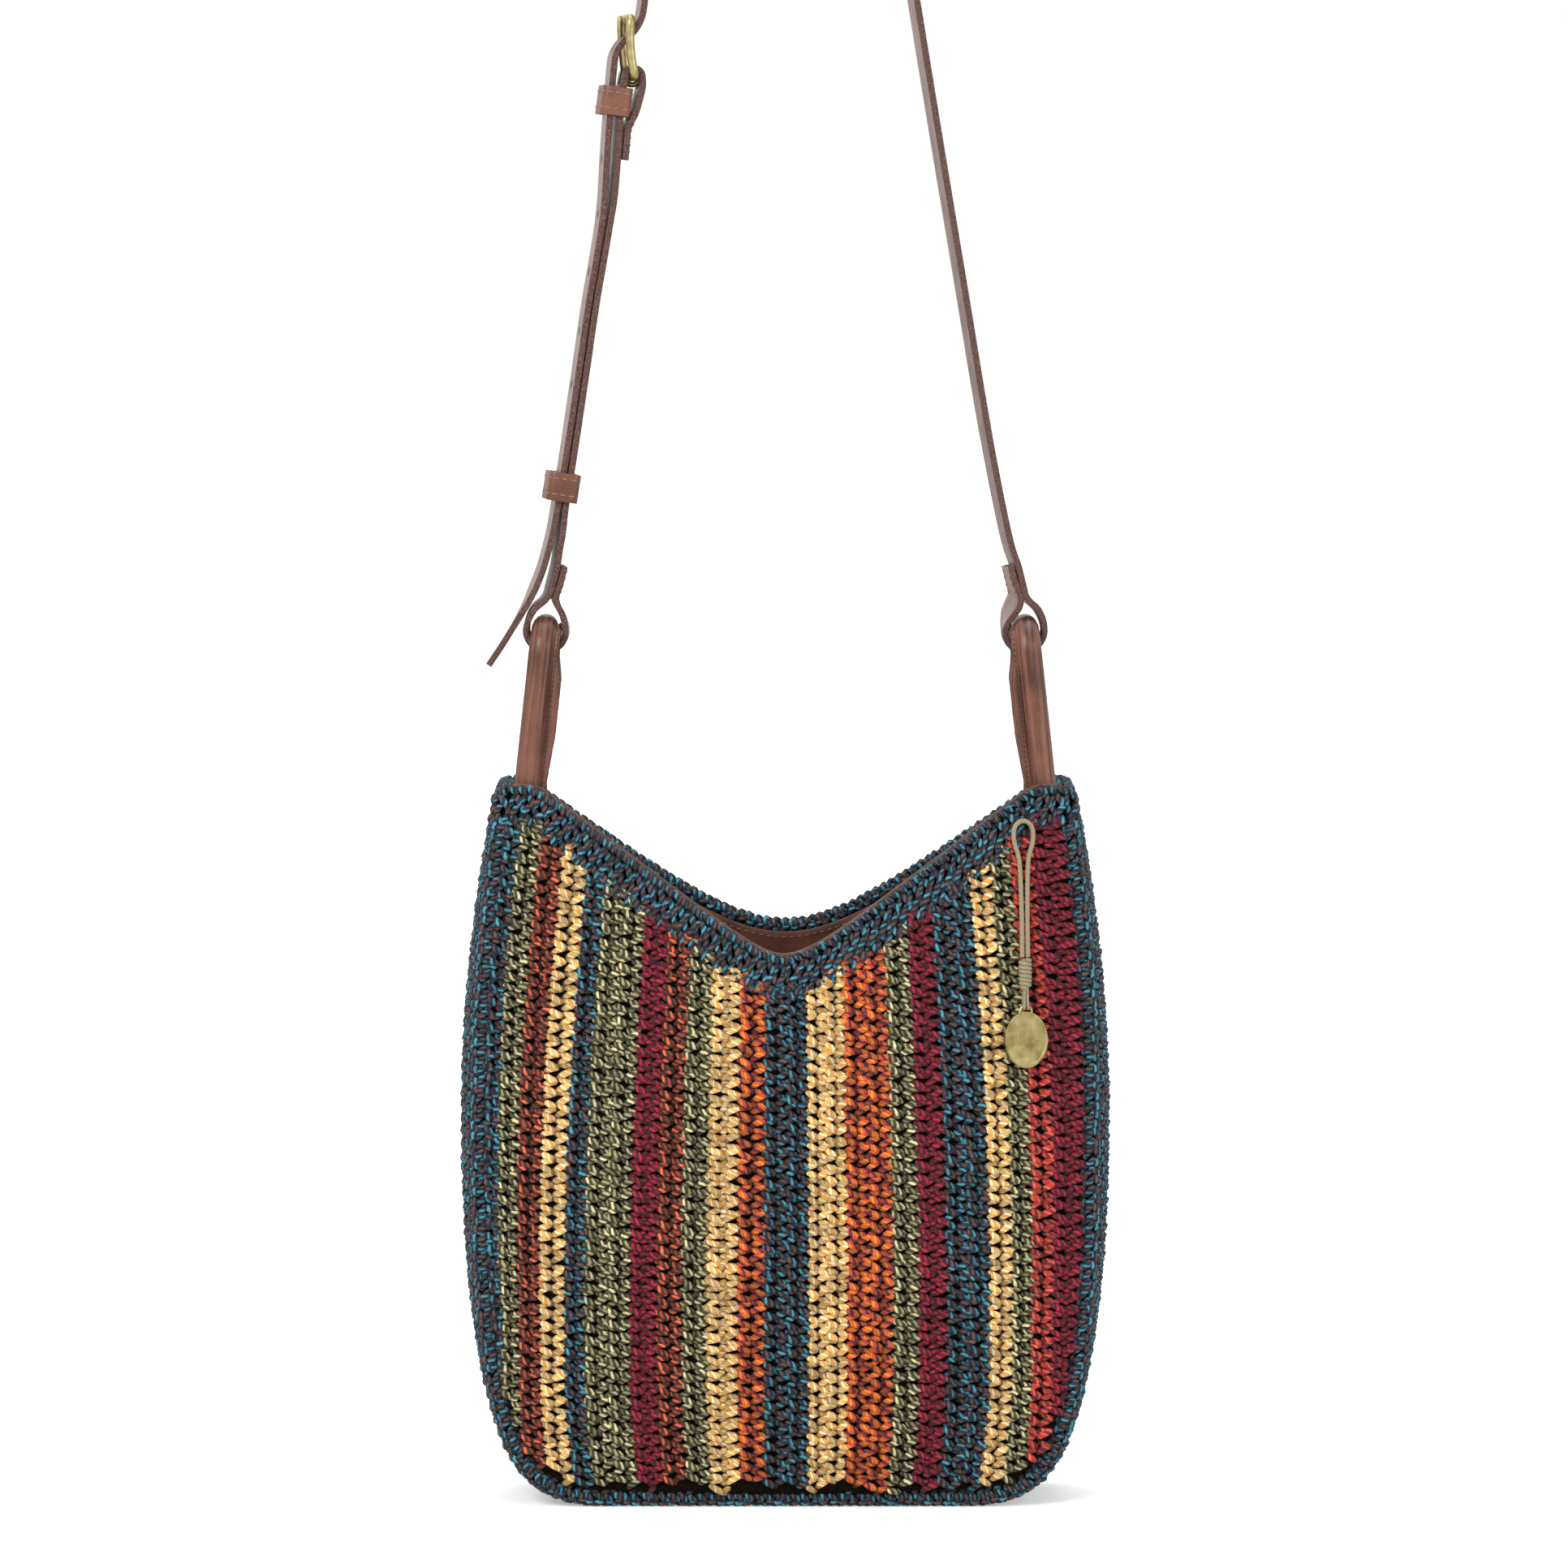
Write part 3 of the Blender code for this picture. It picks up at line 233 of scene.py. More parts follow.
# Routes in millimetres: beside a handle's top bar, as x outwards and z up, and then in X and Z
HANDLE_LOOP = [(-7.7, 27.2), (-5.9, 20), (-4.3, 14.5), (-5.0, 10.5), (-7.6, 5.5), (-9.0, 0),
               (-8.4, -5), (-5.2, -8.3), (0, -9.0), (5.0, -7.4), (7.9, -2.8), (7.6, 2.8),
               (4.9, 8.4), (0.8, 12.2), (-1.1, 15), (-2.6, 20), (-4.4, 27.2)]
RIGHT_LEG = [(96.0, 424), (87.1, 468.5), (76.7, 530), (66.2, 592), (55.6, 656), (43.4, 730),
             (30.9, 805), (25.0, 840)]
LEFT_RUN = [(-25.4, 840), (-32.0, 805), (-45.6, 730), (-57.2, 680)]
BUCKLE_CROSSING = [(-61.3, 661), (-62.1, 653), (-63.3, 647), (-66.5, 641.4), (-71.4, 636.6),
                   (-74.4, 631.4), (-75.4, 624.4)]
TAIL = [(-76.0, 617.5), (-76.4, 611), (-77.0, 605), (-77.8, 595), (-78.5, 584), (-79.4, 569),
        (-80.9, 556), (-83.2, 542), (-85.7, 528), (-87.9, 514), (-89.9, 500), (-92.0, 486),
        (-94.1, 472), (-96.3, 458), (-98.7, 443), (-100.4, 434), (-101.8, 426), (-103.7, 418),
        (-106.6, 408), (-110.4, 398.5), (-114.9, 389.5), (-121.9, 377.5), (-129.2, 366.5)]
BUCKLE_LEG = [(-99.0, 418), (-97.8, 425), (-96.8, 434), (-95.4, 443), (-92.9, 458), (-90.8, 472),
              (-88.7, 486), (-86.6, 500), (-84.6, 514), (-82.4, 528), (-79.9, 542), (-77.5, 556),
              (-75.3, 569), (-73.9, 584), (-73.0, 595), (-72.5, 605), (-72.1, 611), (-71.4, 616)]
BUCKLE_LAP = [(-62.9, 617.5), (-64.3, 611.5), (-66.0, 606), (-69.1, 599.5), (-69.8, 593),
              (-70.5, 586)]
CHARM_EYE = [(2.2, -15), (3.9, -9), (4.3, -4), (3.1, -0.6)]    # half of the charm cord's eye

# Camera, read from the photo
PHOTO_SIZE = 1932
PHOTO_MM_PER_PIXEL = 0.355
PHOTO_BASE_ROW = 1856
PHOTO_MIDDLE_COLUMN = 967.5
CAMERA_DISTANCE = 3.2
CAMERA_ELEVATION = math.radians(4.5)

# Lights: name, place, what each is aimed at, size and power
LIGHTS = [("key", (-1.3, -1.9, 1.9), (0, 0, 0.25), 1.2, 42),
          ("fill", (1.8, -1.5, 1.0), (0, 0, 0.25), 1.4, 14),
          ("top", (0.1, 0.5, 2.3), (0, 0, 0.2), 1.6, 22)]


# Materials

class Nodes:
    """The nodes of a material or of the world, with short ways to add to them."""

    def __init__(self, owner):
        owner.use_nodes = True
        self.owner = owner
        self.nodes = owner.node_tree.nodes
        self.links = owner.node_tree.links

    def put(self, socket, value):
        """Gives a socket a number or a colour, or links it to another node's output."""
        if isinstance(value, bpy.types.NodeSocket):
            self.links.new(value, socket)
        elif isinstance(value, tuple) and socket.type == "RGBA":
            socket.default_value = (*value, 1.0)
        else:
            socket.default_value = value

    def add(self, kind, inputs=None, output=0, **settings):
        """One of the outputs of a new node, which gets these inputs and settings."""
        node = self.nodes.new("ShaderNode" + kind)
        for name, value in settings.items():
            setattr(node, name, value)
        for name, value in (inputs or {}).items():
            self.put(node.inputs[name], value)
        return node.outputs[output]

    def math(self, operation, *values):
        return self.add("Math", dict(enumerate(values)), operation=operation)

    def mixed(self, first, second, share):
        """Two values, the first with its share and the second with the rest."""
        return self.math("ADD", self.math("MULTIPLY", first, share),
                         self.math("MULTIPLY", second, 1 - share))

    def ranged(self, value, low, high, start=0.0, end=1.0):
        """A value that runs from start to end, made to run from low to high."""
        return self.add("MapRange", {"Value": value, "From Min": start, "From Max": end,
                                     "To Min": low, "To Max": high})

    def place(self):
        return self.add("TexCoord", output="Object")

    def stretched(self, vector, scale):
        return self.add("Mapping", {"Vector": vector, "Scale": scale})

    def noise(self, scale, detail, vector=None):
        return self.add("TexNoise", {"Scale": scale, "Detail": detail,
                                     "Vector": vector or self.place()})

    def wave(self, direction, scale, distortion=0.0):
        return self.add("TexWave", {"Scale": scale, "Distortion": distortion,
                                    "Vector": self.place()}, output="Fac", bands_direction=direction)

    def ramp(self, factor, stops):
        """A colour for each value of the factor, from stops of position and colour."""
        node = self.nodes.new("ShaderNodeValToRGB")
        elements = node.color_ramp.elements
        while len(elements) < len(stops):
            elements.new(0.5)
        for element, (position, colour) in zip(elements, stops):
            element.position = position
            element.color = (*colour, 1.0)
        self.put(node.inputs[0], factor)
        return node.outputs[0]

    def tinted(self, colour, tint):
        """One colour multiplied by another."""
        return self.add("Mix", {0: 1.0, 6: colour, 7: tint}, output=2, data_type="RGBA",
                        blend_type="MULTIPLY")


class Finish(Nodes):
    """A material made from the principled shader."""

    def __init__(self, name):
        super().__init__(bpy.data.materials.new(name))
        self.shader = self.nodes["Principled BSDF"]

    def shade(self, colour, roughness, others=None):
        for name, value in {"Base Color": colour, "Roughness": roughness, **(others or {})}.items():
            self.put(self.shader.inputs[name], value)

    def bump(self, height, strength, distance):
        normal = self.add("Bump", {"Strength": strength, "Distance": distance, "Height": height})
        self.put(self.shader.inputs["Normal"], normal)

    def twist(self):
        """Coordinates along and round a strand, strap or handle."""
        return self.add("UVMap", uv_map="twist")


def yarn_finish(name, plies):
    """Plied yarn: its plies run round the strand, and each strand varies a little at random.

    Painted shade darkens the grooves between the plies and the strands low in the fabric.
    """
    finish = Finish(name + "_yarn")
    split = finish.nodes.new("ShaderNodeSeparateXYZ")
    finish.put(split.inputs[0], finish.twist())
    along = finish.math("ADD", split.outputs[0], split.outputs[1])
    wander = finish.math("MULTIPLY", finish.noise(260, 1.0), 0.22)
    phase = finish.math("FRACT", finish.math("ADD", along, wander))
    count = len(plies)
    stops = []
    for i, ply in enumerate(plies):
        stops.append((i / count + 0.03, ply))
        stops.append(((i + 1) / count - 0.03, ply))
    crest = finish.math("PINGPONG", finish.math("MULTIPLY", phase, count), 0.5)
    crest = finish.math("POWER", finish.math("MULTIPLY", crest, 2.0), 0.6)
    # The grooves between the plies are darkened in the colour: painted shade.
    shade = finish.ramp(crest, [(0.0, (0.30, 0.28, 0.28)), (0.55, (1.0, 1.0, 1.0))])
    colour = finish.tinted(finish.ramp(phase, stops), shade)
    # The strand's attribute carries painted shade, darker for strands low in the fabric or given less of the
    # light, mixed with a random difference between strands.
    tone_and_shade = finish.add("Attribute", output="Fac", attribute_name="tone_and_shade")
    tones_and_shade = finish.ramp(tone_and_shade, [(0.0, (0.04, 0.04, 0.045)), (0.5, (0.66, 0.65, 0.64)),
                               (1.0, (1.3, 1.27, 1.2))])
    finish.shade(finish.tinted(colour, tones_and_shade), 0.72,
                 {"Specular IOR Level": 0.35, "Sheen Weight": 0.03, "Sheen Roughness": 0.5})
    fibre = finish.math("MULTIPLY", finish.noise(2600, 2.0), 0.35)
    finish.bump(finish.math("ADD", crest, fibre), 0.55, 0.35 * MM)
    return finish.owner


def painted_shade_finish(name, colour):
    """Painted shade for the fabric deep between the strands: near-black fuzz where it lies in shadow."""
    finish = Finish(name)
    fuzz = finish.noise(900, 3.0)
    tint = finish.ramp(fuzz, [(0.3, tuple(0.3 * c for c in colour)), (0.75, colour)])
    finish.shade(tint, 0.95, {"Specular IOR Level": 0.05})
    finish.bump(fuzz, 0.6, 0.4 * MM)
    return finish.owner


def leather_finish(name, light, dark, roughness, grain=700.0, highlight_streaks=False):
    """Grained leather, cloudy in colour or, with streaks, creased round a rolled piece; the lengthwise
    streaks are painted highlights as well as creases.
    """
    finish = Finish(name)
    place = finish.place()
    broad = finish.noise(60, 4.0, place)
    if highlight_streaks:
        # Lengthwise streaks in the colour: painted highlights along the rolled leather, mixed with its
        # creased colour.
        creases = finish.noise(1.0, 5.0, finish.stretched(finish.twist(), (14, 22, 1)))
        broad = finish.mixed(broad, creases, 0.25)
    colour = finish.ramp(broad, [(0.42, dark), (0.58, light)])
    pore = finish.add("TexVoronoi", {"Scale": grain, "Vector": place}, output="Distance")
    fine = finish.noise(grain * 2.2, 3.0, place)
    speck = finish.ramp(fine, [(0.35, (0.78, 0.74, 0.72)), (0.65, (1.08, 1.06, 1.05))])
    finish.shade(finish.tinted(colour, speck),
                 finish.ranged(broad, roughness - 0.08, roughness + 0.12))
    finish.bump(finish.math("ADD", pore, finish.math("MULTIPLY", fine, 0.6)), 0.48, 0.12 * MM)
    return finish.owner


def raw_edge_finish():
    """Cut edge of the strap: speckled fibres, darker than the faces."""
    finish = Finish("raw_leather_edge")
    speck = finish.noise(1500, 4.0)
    finish.shade(finish.ramp(speck, [(0.32, (0.03, 0.012, 0.009)), (0.5, (0.10, 0.045, 0.035)),
                                     (0.70, (0.20, 0.112, 0.09))]), 0.8)
    finish.bump(speck, 0.7, 0.25 * MM)
    return finish.owner


def brass_finish(name, dark, middle, light, brushing):
    """Brushed brass, cloudy in colour."""
    finish = Finish(name)
    place = finish.place()
    brushed = finish.noise(1.0, 3.0, finish.stretched(place, (3000, 400, 500)))
    cloud = finish.noise(180, 4.0, place)
    mixed = finish.mixed(brushed, cloud, brushing)
    colour = finish.ramp(mixed, [(0.34, dark), (0.52, middle), (0.68, light)])
    finish.shade(colour, finish.ranged(mixed, 0.52, 0.3), {"Metallic": 0.9})
    finish.bump(brushed, 0.12, 0.04 * MM)
    return finish.owner


def woven_finish():
    """Plain woven lining."""
    finish = Finish("woven_lining")
    weave = finish.math("MULTIPLY", finish.wave("X", 420, 0.4), finish.wave("Z", 420, 0.4))
    finish.shade(finish.ramp(weave, [(0.0, (0.02, 0.009, 0.006)), (0.8, (0.075, 0.032, 0.022))]), 0.85)
    finish.bump(weave, 0.3, 0.1 * MM)
    return finish.owner


def cord_finish():
    """Waxed cord, twisted finely."""
    finish = Finish("waxed_cord")
    twist = finish.wave("DIAGONAL", 300, 3.0)
    finish.shade(finish.ramp(twist, [(0.1, (0.27, 0.225, 0.125)), (0.7, (0.33, 0.28, 0.165))]), 0.6)
    finish.bump(twist, 0.2, 0.06 * MM)
    return finish.owner


def rope_finish():
    """Twisted cotton rope inside the handles."""
    finish = Finish("cotton_rope")
    twist = finish.wave("DIAGONAL", 90)
    finish.shade(finish.ramp(twist, [(0.1, (0.42, 0.37, 0.28)), (0.7, (0.66, 0.6, 0.5))]), 0.9)
    finish.bump(twist, 0.5, 0.3 * MM)
    return finish.owner


def thread_finish(name, dark, light):
    finish = Finish(name)
    twist = finish.noise(2400, 2.0)
    finish.shade(finish.ramp(twist, [(0.35, dark), (0.65, light)]), 0.6)
    finish.bump(twist, 0.4, 0.1 * MM)
    return finish.owner


# Meshes from arrays

def mesh_object(name, verts, faces_by_size, uvs, tones_and_shade=None):
    """A mesh from an array of points and, for each size of face, an array of corner numbers."""
    mesh = bpy.data.meshes.new(name)
    loops = np.concatenate([faces.ravel() for faces in faces_by_size])
    totals = np.concatenate([np.full(len(faces), faces.shape[1]) for faces in faces_by_size])
    starts = np.concatenate([[0], np.cumsum(totals)[:-1]])
    mesh.vertices.add(len(verts))
    mesh.vertices.foreach_set("co", verts.ravel().astype(np.float32))
    mesh.loops.add(len(loops))
    mesh.loops.foreach_set("vertex_index", loops.astype(np.int32))
    mesh.polygons.add(len(totals))
    mesh.polygons.foreach_set("loop_start", starts.astype(np.int32))
    mesh.polygons.foreach_set("use_smooth", np.ones(len(totals), dtype=bool))
    mesh.update(calc_edges=True)
    layer = mesh.uv_layers.new(name="twist")
    layer.uv.foreach_set("vector", uvs.ravel().astype(np.float32))
    if tones_and_shade is not None:
        mesh.attributes.new("tone_and_shade", "FLOAT", "POINT")
        mesh.attributes["tone_and_shade"].data.foreach_set("value", tones_and_shade.astype(np.float32))
    mesh.validate()
    obj = bpy.data.objects.new(name, mesh)
    bpy.context.scene.collection.objects.link(obj)
    return obj


def unit(vectors):
    return vectors / np.maximum(np.linalg.norm(vectors, axis=-1, keepdims=True), 1e-9)


def rings_round(centre, lift, girth, sides):
    """Rings of points round many short lines at once. lift points away from what they lie on."""
    tangent = unit(np.gradient(centre, axis=1))
    side = unit(np.cross(tangent, lift))
    up = np.cross(side, tangent)
    angles = 2 * np.pi * (np.arange(sides) + 0.5) / sides
    ring = (side[:, :, None, :] * np.cos(angles)[None, None, :, None]
            + up[:, :, None, :] * np.sin(angles)[None, None, :, None])
    return centre[:, :, None, :] + girth[:, :, None, None] * ring


def strand_mesh(name, points, length, tones_and_shade):
    """Closed strands from their rings, with UVs along and round each, and at each ring a value that
    varies at random and carries painted shade.
    """
    count, rings, sides = points.shape[:3]
    base = np.arange(count)[:, None, None] * rings * sides
    ring = np.arange(rings - 1)[None, :, None] * sides
    k = np.arange(sides)[None, None, :]
    following = (k + 1) % sides
    quads = np.stack([base + ring + k, base + ring + following,
                      base + ring + sides + following, base + ring + sides + k], axis=-1)
    first = (np.arange(count)[:, None] * rings * sides + np.arange(sides)[::-1][None, :])
    last = (first + (rings - 1) * sides)[:, ::-1]
    u0 = np.broadcast_to(length[:, :-1, None], (count, rings - 1, sides))
    u1 = np.broadcast_to(length[:, 1:, None], (count, rings - 1, sides))
    v0 = np.broadcast_to(k / sides, (count, rings - 1, sides))
    v1 = v0 + 1 / sides
    quad_uv = np.stack([np.stack([u0, v0], -1), np.stack([u0, v1], -1),
                        np.stack([u1, v1], -1), np.stack([u1, v0], -1)], axis=3)
    uvs = np.concatenate([quad_uv.reshape(-1, 2), np.zeros((count * 2 * sides, 2))])
    caps = np.concatenate([first, last])
    return mesh_object(name, points.reshape(-1, 3), [quads.reshape(-1, 4), caps], uvs,
                       np.repeat(tones_and_shade.ravel(), sides))


class Strands:
    """Short plump strands of yarn laid over a surface, gathered by yarn until they are made."""

    RINGS = 6
    SIDES = 5

    def __init__(self):
        self.laid = {}

    def lay(self, yarn, surface, across, along, span, slant, ends, arch, radius=YARN_R, curl=0.0,
            lit=1.0):
        """Strands centred at (across, along) on a surface.

        span and slant are how far each runs across the row and along it, ends the heights of its
        two ends, arch how far its middle stands above them, curl how far its middle runs ahead,
        lit the share of the light that it gets, which darkens its colour as painted shade.
        """
        across, along, span, slant, low, high, arch, radius, curl = np.broadcast_arrays(
            across, along, span, slant, ends[0], ends[1], arch, radius, curl)
        s = np.linspace(-0.5, 0.5, self.RINGS)
        a = across[:, None] + span[:, None] * s
        b = along[:, None] + slant[:, None] * s + curl[:, None] * (1 - 4 * s * s)
        rise = np.cos(np.pi * s) ** 0.8
        h = low[:, None] * (0.5 - s) + high[:, None] * (0.5 + s) + arch[:, None] * rise
        centre = surface(a, b, h)
        lift = surface(a, b, h + 0.5 * MM) - centre
        girth = radius[:, None] * (0.72 + 0.28 * np.cos(np.pi * s))
        points = rings_round(centre, lift, girth, self.SIDES)
        points[..., 2] = np.maximum(points[..., 2], 0.2 * MM)
        steps = np.linalg.norm(np.diff(centre, axis=1), axis=-1)
        length = np.concatenate([np.zeros((len(steps), 1)), np.cumsum(steps, axis=1)], axis=1)
        start = rng.random((len(length), 1)) * 3
        # Painted shade: strands low in the fabric, and those given less of the light, are darker; the rest
        # is a random difference between strands.
        light = np.clip((h - LOW_IN_FABRIC) / (HIGH_IN_FABRIC - LOW_IN_FABRIC), 0, 1)
        tones_and_shade = lit * light * (0.45 + 0.55 * rng.random((len(length), 1)))
        self.laid.setdefault(yarn, []).append((points, length / PLY_TURN + start, tones_and_shade))

    def make(self, yarn, name):
        points, length, tones_and_shade = (np.concatenate([part[i] for part in self.laid[yarn]])
                                 for i in range(3))
        obj = strand_mesh(name, points, length, tones_and_shade)
        obj.data.materials.append(YARN_FINISHES[yarn])
        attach(obj, "bag")


# Shape of the body, for arrays of places

def bow(z):
    """Width of the stripes at a height, as a share of their greatest."""
    start, share, span, power = DRAWN_IN_ABOVE
    high = 1 - share * (np.maximum(z - start, 0) / span) ** power
    start, share, span, power = DRAWN_IN_BELOW
    low = 1 - share * (np.maximum(start - z, 0) / span) ** power
    return np.minimum(high, low)


def bottom_z(x, inset=0.0):
    share = np.minimum(1.0, np.abs(x) / (WIDEST_HALF - inset))
    drop = np.minimum(1.0, BASE_FLAT * (1 - share ** BASE_POWER) ** (1 / SIDE_POWER))
    return WIDEST_Z - (WIDEST_Z - BASE_Z - inset) * drop


def side_x(z, inset=0.0):
    above = WIDEST_HALF - inset - TOP_TAPER * np.maximum(z - WIDEST_Z, 0) ** 2
    drop = np.clip((WIDEST_Z - z) / (WIDEST_Z - BASE_Z - inset) / BASE_FLAT, 0, 1)
    below = (WIDEST_HALF - inset) * (1 - drop ** SIDE_POWER) ** (1 / BASE_POWER)
    return np.where(z >= WIDEST_Z, above, below)


def column_x(u, z, inset=SEAM_INSET):
    edge = np.abs(u) ** EDGE_POWER
    inner = (WIDEST_HALF - inset) * bow(z)
    outer = side_x(np.maximum(z, CORNER_TOP_Z), inset)
    return u * ((1 - edge) * inner + edge * outer)


def column_bottom(u):
    low, high = BASE_Z + SEAM_INSET, CORNER_TOP_Z
    for _ in range(25):
        z = (low + high) / 2
        if z < bottom_z(column_x(u, z), SEAM_INSET):
            low = z
        else:
            high = z
    return high


def rim_z(x, front):
    low = FRONT_LOW_Z if front else BACK_LOW_Z
    curve = FRONT_RIM_CURVE if front else BACK_RIM_CURVE
    below = CORNER_Z - low - RIM_SLOPE * (np.hypot(x, curve) - curve)
    blend = np.maximum(0.0, below + RIM_BLEND) ** 2 / (4 * RIM_BLEND)
    return CORNER_Z - np.where(below > RIM_BLEND, below, blend)


def drop_below_rim(x, front, height):
    step = 0.5 * MM
    grade = (rim_z(np.abs(x) + step, front) - rim_z(np.abs(x), front)) / step
    return rim_z(x, front) - height * np.hypot(1, grade)


def column_top(u, front, height):
    z = CORNER_Z
    for _ in range(12):
        z = drop_below_rim(column_x(u, z), front, height)
    return z


def half_depth(u, z, front):
    swell = np.maximum(0.0, np.sin(np.pi * (z + BULGE_START) / BULGE_SPAN))
    depth = SEAM_Y + PANEL_BULGE * swell * (1 - np.minimum(1.0, np.abs(u)) ** BULGE_POWER)
    if front:
        fold = np.exp(-((u - FOLD_U) / FOLD_WIDTH_U) ** 2)
        depth = depth - FOLD_DEPTH * fold * np.clip(z / FRONT_LOW_Z, 0, 1) ** FOLD_POWER
    return depth


def panel_surface(front):
    """Surface of a panel: across is u times the panel's half width, along is the height."""
    def place(across, along, height):
        u = across / PANEL_HALF
        depth = half_depth(u, along, front) + height
        x = column_x(u, along)
        sign = 1 if front else -1
        return np.stack([sign * x, -sign * depth, along], axis=-1)
    return place


def seam_line(top, count=240):
    """Points of the seam in X and Z from the top left to the top right, and what points outward."""
    heights = np.linspace(top, WIDEST_Z, count // 4, endpoint=False)
    turn = np.linspace(0, math.pi / 2, count // 4)
    x = np.concatenate([side_x(heights), WIDEST_HALF * np.cos(turn) ** (2 / BASE_POWER)])
    z = np.concatenate([heights, bottom_z(x[len(heights):])])
    x[-1] = 0.0
    x = np.concatenate([-x, x[-2::-1]])
    z = np.concatenate([z, z[-2::-1]])
    line = np.stack([x, z], axis=-1)
    way = unit(np.gradient(line, axis=0))
    out = np.stack([way[:, 1], -way[:, 0]], axis=-1)
    return line, out


def run_lengths(points, closed=False):
    if closed:
        points = np.concatenate([points, points[:1]])
    steps = np.linalg.norm(np.diff(points, axis=0), axis=-1)
    return np.concatenate([[0.0], np.cumsum(steps)])


def follow(at, lengths, values):
    """Reads values given along a line at other lengths along it."""
    return np.stack([np.interp(at, lengths, column) for column in values.T], axis=-1)


def gusset_surface():
    """Surface of the gusset: across is Y, along is the distance from its top left end."""
    line, out = seam_line(CORNER_Z - BORDER_H - GAP)
    lengths = run_lengths(line)
    half = SEAM_Y - SEAM_INSET

    def place(across, along, height):
        spot = follow(along, lengths, line)
        outward = follow(along, lengths, out)
        v = np.clip(across / half, -1, 1)
        share = np.clip((spot[..., 1] - GUSSET_SWELL_Z) / (CORNER_Z - GUSSET_SWELL_Z), 0, 1)
        swell = BASE_SWELL + GUSSET_SWELL * np.sin(np.pi * share) * (1 - v * v)
        spot = spot + outward * (swell + height)[..., None]
        return np.stack([spot[..., 0], across, spot[..., 1]], axis=-1)
    return place, lengths[-1]


def braid_surface(side):
    """Surface of a seam's braid: across is an angle round it, along the distance from its end."""
    line, out = seam_line(CORNER_Z - BORDER_H + SEAM_TUCK)
    lengths = run_lengths(line)

    def place(across, along, height):
        spot = follow(along, lengths, line)
        outward = follow(along, lengths, out) * (np.cos(across) * height)[..., None]
        y = side * (SEAM_Y + np.sin(across) * height)
        return np.stack([spot[..., 0] + outward[..., 0], y, spot[..., 1] + outward[..., 1]],
                        axis=-1)
    return place, lengths[-1]


def end_steps(samples):
    """Angles round one end of the opening, each with its share of the way between the panels."""
    for angle in np.linspace(0, math.pi, samples)[1:-1]:
        if math.sin(angle) > 0.999:
            for share in (-1, -0.5, 0, 0.5, 1):
                yield angle, share
        else:
            yield angle, math.copysign(1, -math.cos(angle))


def opening_line():
    """Distances round the rim, and at each its places at the rim and at the border's foot.

    The last two numbers of a row are the direction that points outward, in X and Y.
    """
    rows = []
    for front in (True, False):
        sign = 1 if front else -1
        for u in np.linspace(-1, 1, 121):
            high = column_top(u, front, 0.0)
            low = column_top(u, front, BORDER_H)
            rows.append([sign * column_x(u, high), -sign * half_depth(u, high, front), high,
                         sign * column_x(u, low), -sign * half_depth(u, low, front), low,
                         0.0, -sign])
        for angle, share in end_steps(25):
            row = []
            for z in (CORNER_Z, CORNER_Z - BORDER_H):
                x = side_x(z) - SEAM_INSET + CORNER_R * math.sin(angle)
                y = share * (SEAM_Y - CORNER_R) - CORNER_R * math.cos(angle)
                row += [sign * x, sign * y, z]
            rows.append(row + [sign * math.sin(angle), -sign * math.cos(angle)])
    rows = np.array(rows)
    return run_lengths(rows[:, :3], closed=True), np.concatenate([rows, rows[:1]])


def border_surface():
    """Surface of the border: across runs down from the rim, along is the distance round it."""
    lengths, rows = opening_line()

    def place(across, along, height):
        values = follow(along % lengths[-1], lengths, rows)
        share = (across / BORDER_H)[..., None]
        spot = values[..., 0:3] * (1 - share) + values[..., 3:6] * share
        spot[..., 0] += values[..., 6] * height
        spot[..., 1] += values[..., 7] * height
        return spot
    return place, lengths[-1]


def rim_surface():
    """Surface of the rolled edge on the rim: across is an angle over it, from inside to outside."""
    lengths, rows = opening_line()

    def place(across, along, height):
        values = follow(along % lengths[-1], lengths, rows)
        spot = values[..., 0:3].copy()
        out = np.sin(across) * height
        spot[..., 0] += values[..., 6] * out
        spot[..., 1] += values[..., 7] * out
        spot[..., 2] += np.cos(across) * height - RIM_ROLL
        return spot
    return place, lengths[-1]


# Crochet

def jitter(count, amount):
    return rng.normal(0.0, amount, count)


def stray(count, mean, spread):
    return mean + jitter(count, spread)


def lay_row(strands, yarn, surface, across, width, low, high, side):
    """One row of crochet: a strong slanting strand in each stitch and a flatter one beside it."""
    count = max(2, int(round((high - low) / STITCH)))
    pitch = (high - low) / count
    start = low + (np.arange(count) + rng.random()) * pitch
    ends = (ROW_OUTER, ROW_INNER) if side < 0 else (ROW_INNER, ROW_OUTER)
    for strand in ROW_STRANDS:
        along = start + pitch * strand["later"] + side * strand["ahead"]
        aside, ahead = strand["stray"]
        strands.lay(yarn, surface, stray(count, across, aside), stray(count, along, ahead),
                    width * stray(count, *strand["width"]), side * stray(count, *strand["slant"]),
                    ends, stray(count, *strand["arch"]), YARN_R * stray(count, *strand["girth"]),
                    side * strand["curl"])


def crochet_panel(strands, front):
    surface = panel_surface(front)
    left = -PANEL_HALF
    for yarn, ridges, width in STRIPES:
        ridge = width / ridges
        for i in range(ridges):
            for side in (-1, 1):
                across = left + ridge * (i + 0.5 + side * 0.25) + side * ROW_SHIFT
                u = across / PANEL_HALF
                low = column_bottom(u) + ROW_FOOT
                high = float(column_top(u, front, BORDER_H)) + ROW_TUCK
                lay_row(strands, yarn, surface, across, ridge / 2 + ROW_OVERLAP, low, high, side)
            if ridge > WIDE_RIDGE:
                fill_middle(strands, yarn, surface, left + ridge * (i + 0.5), front)
        left += width


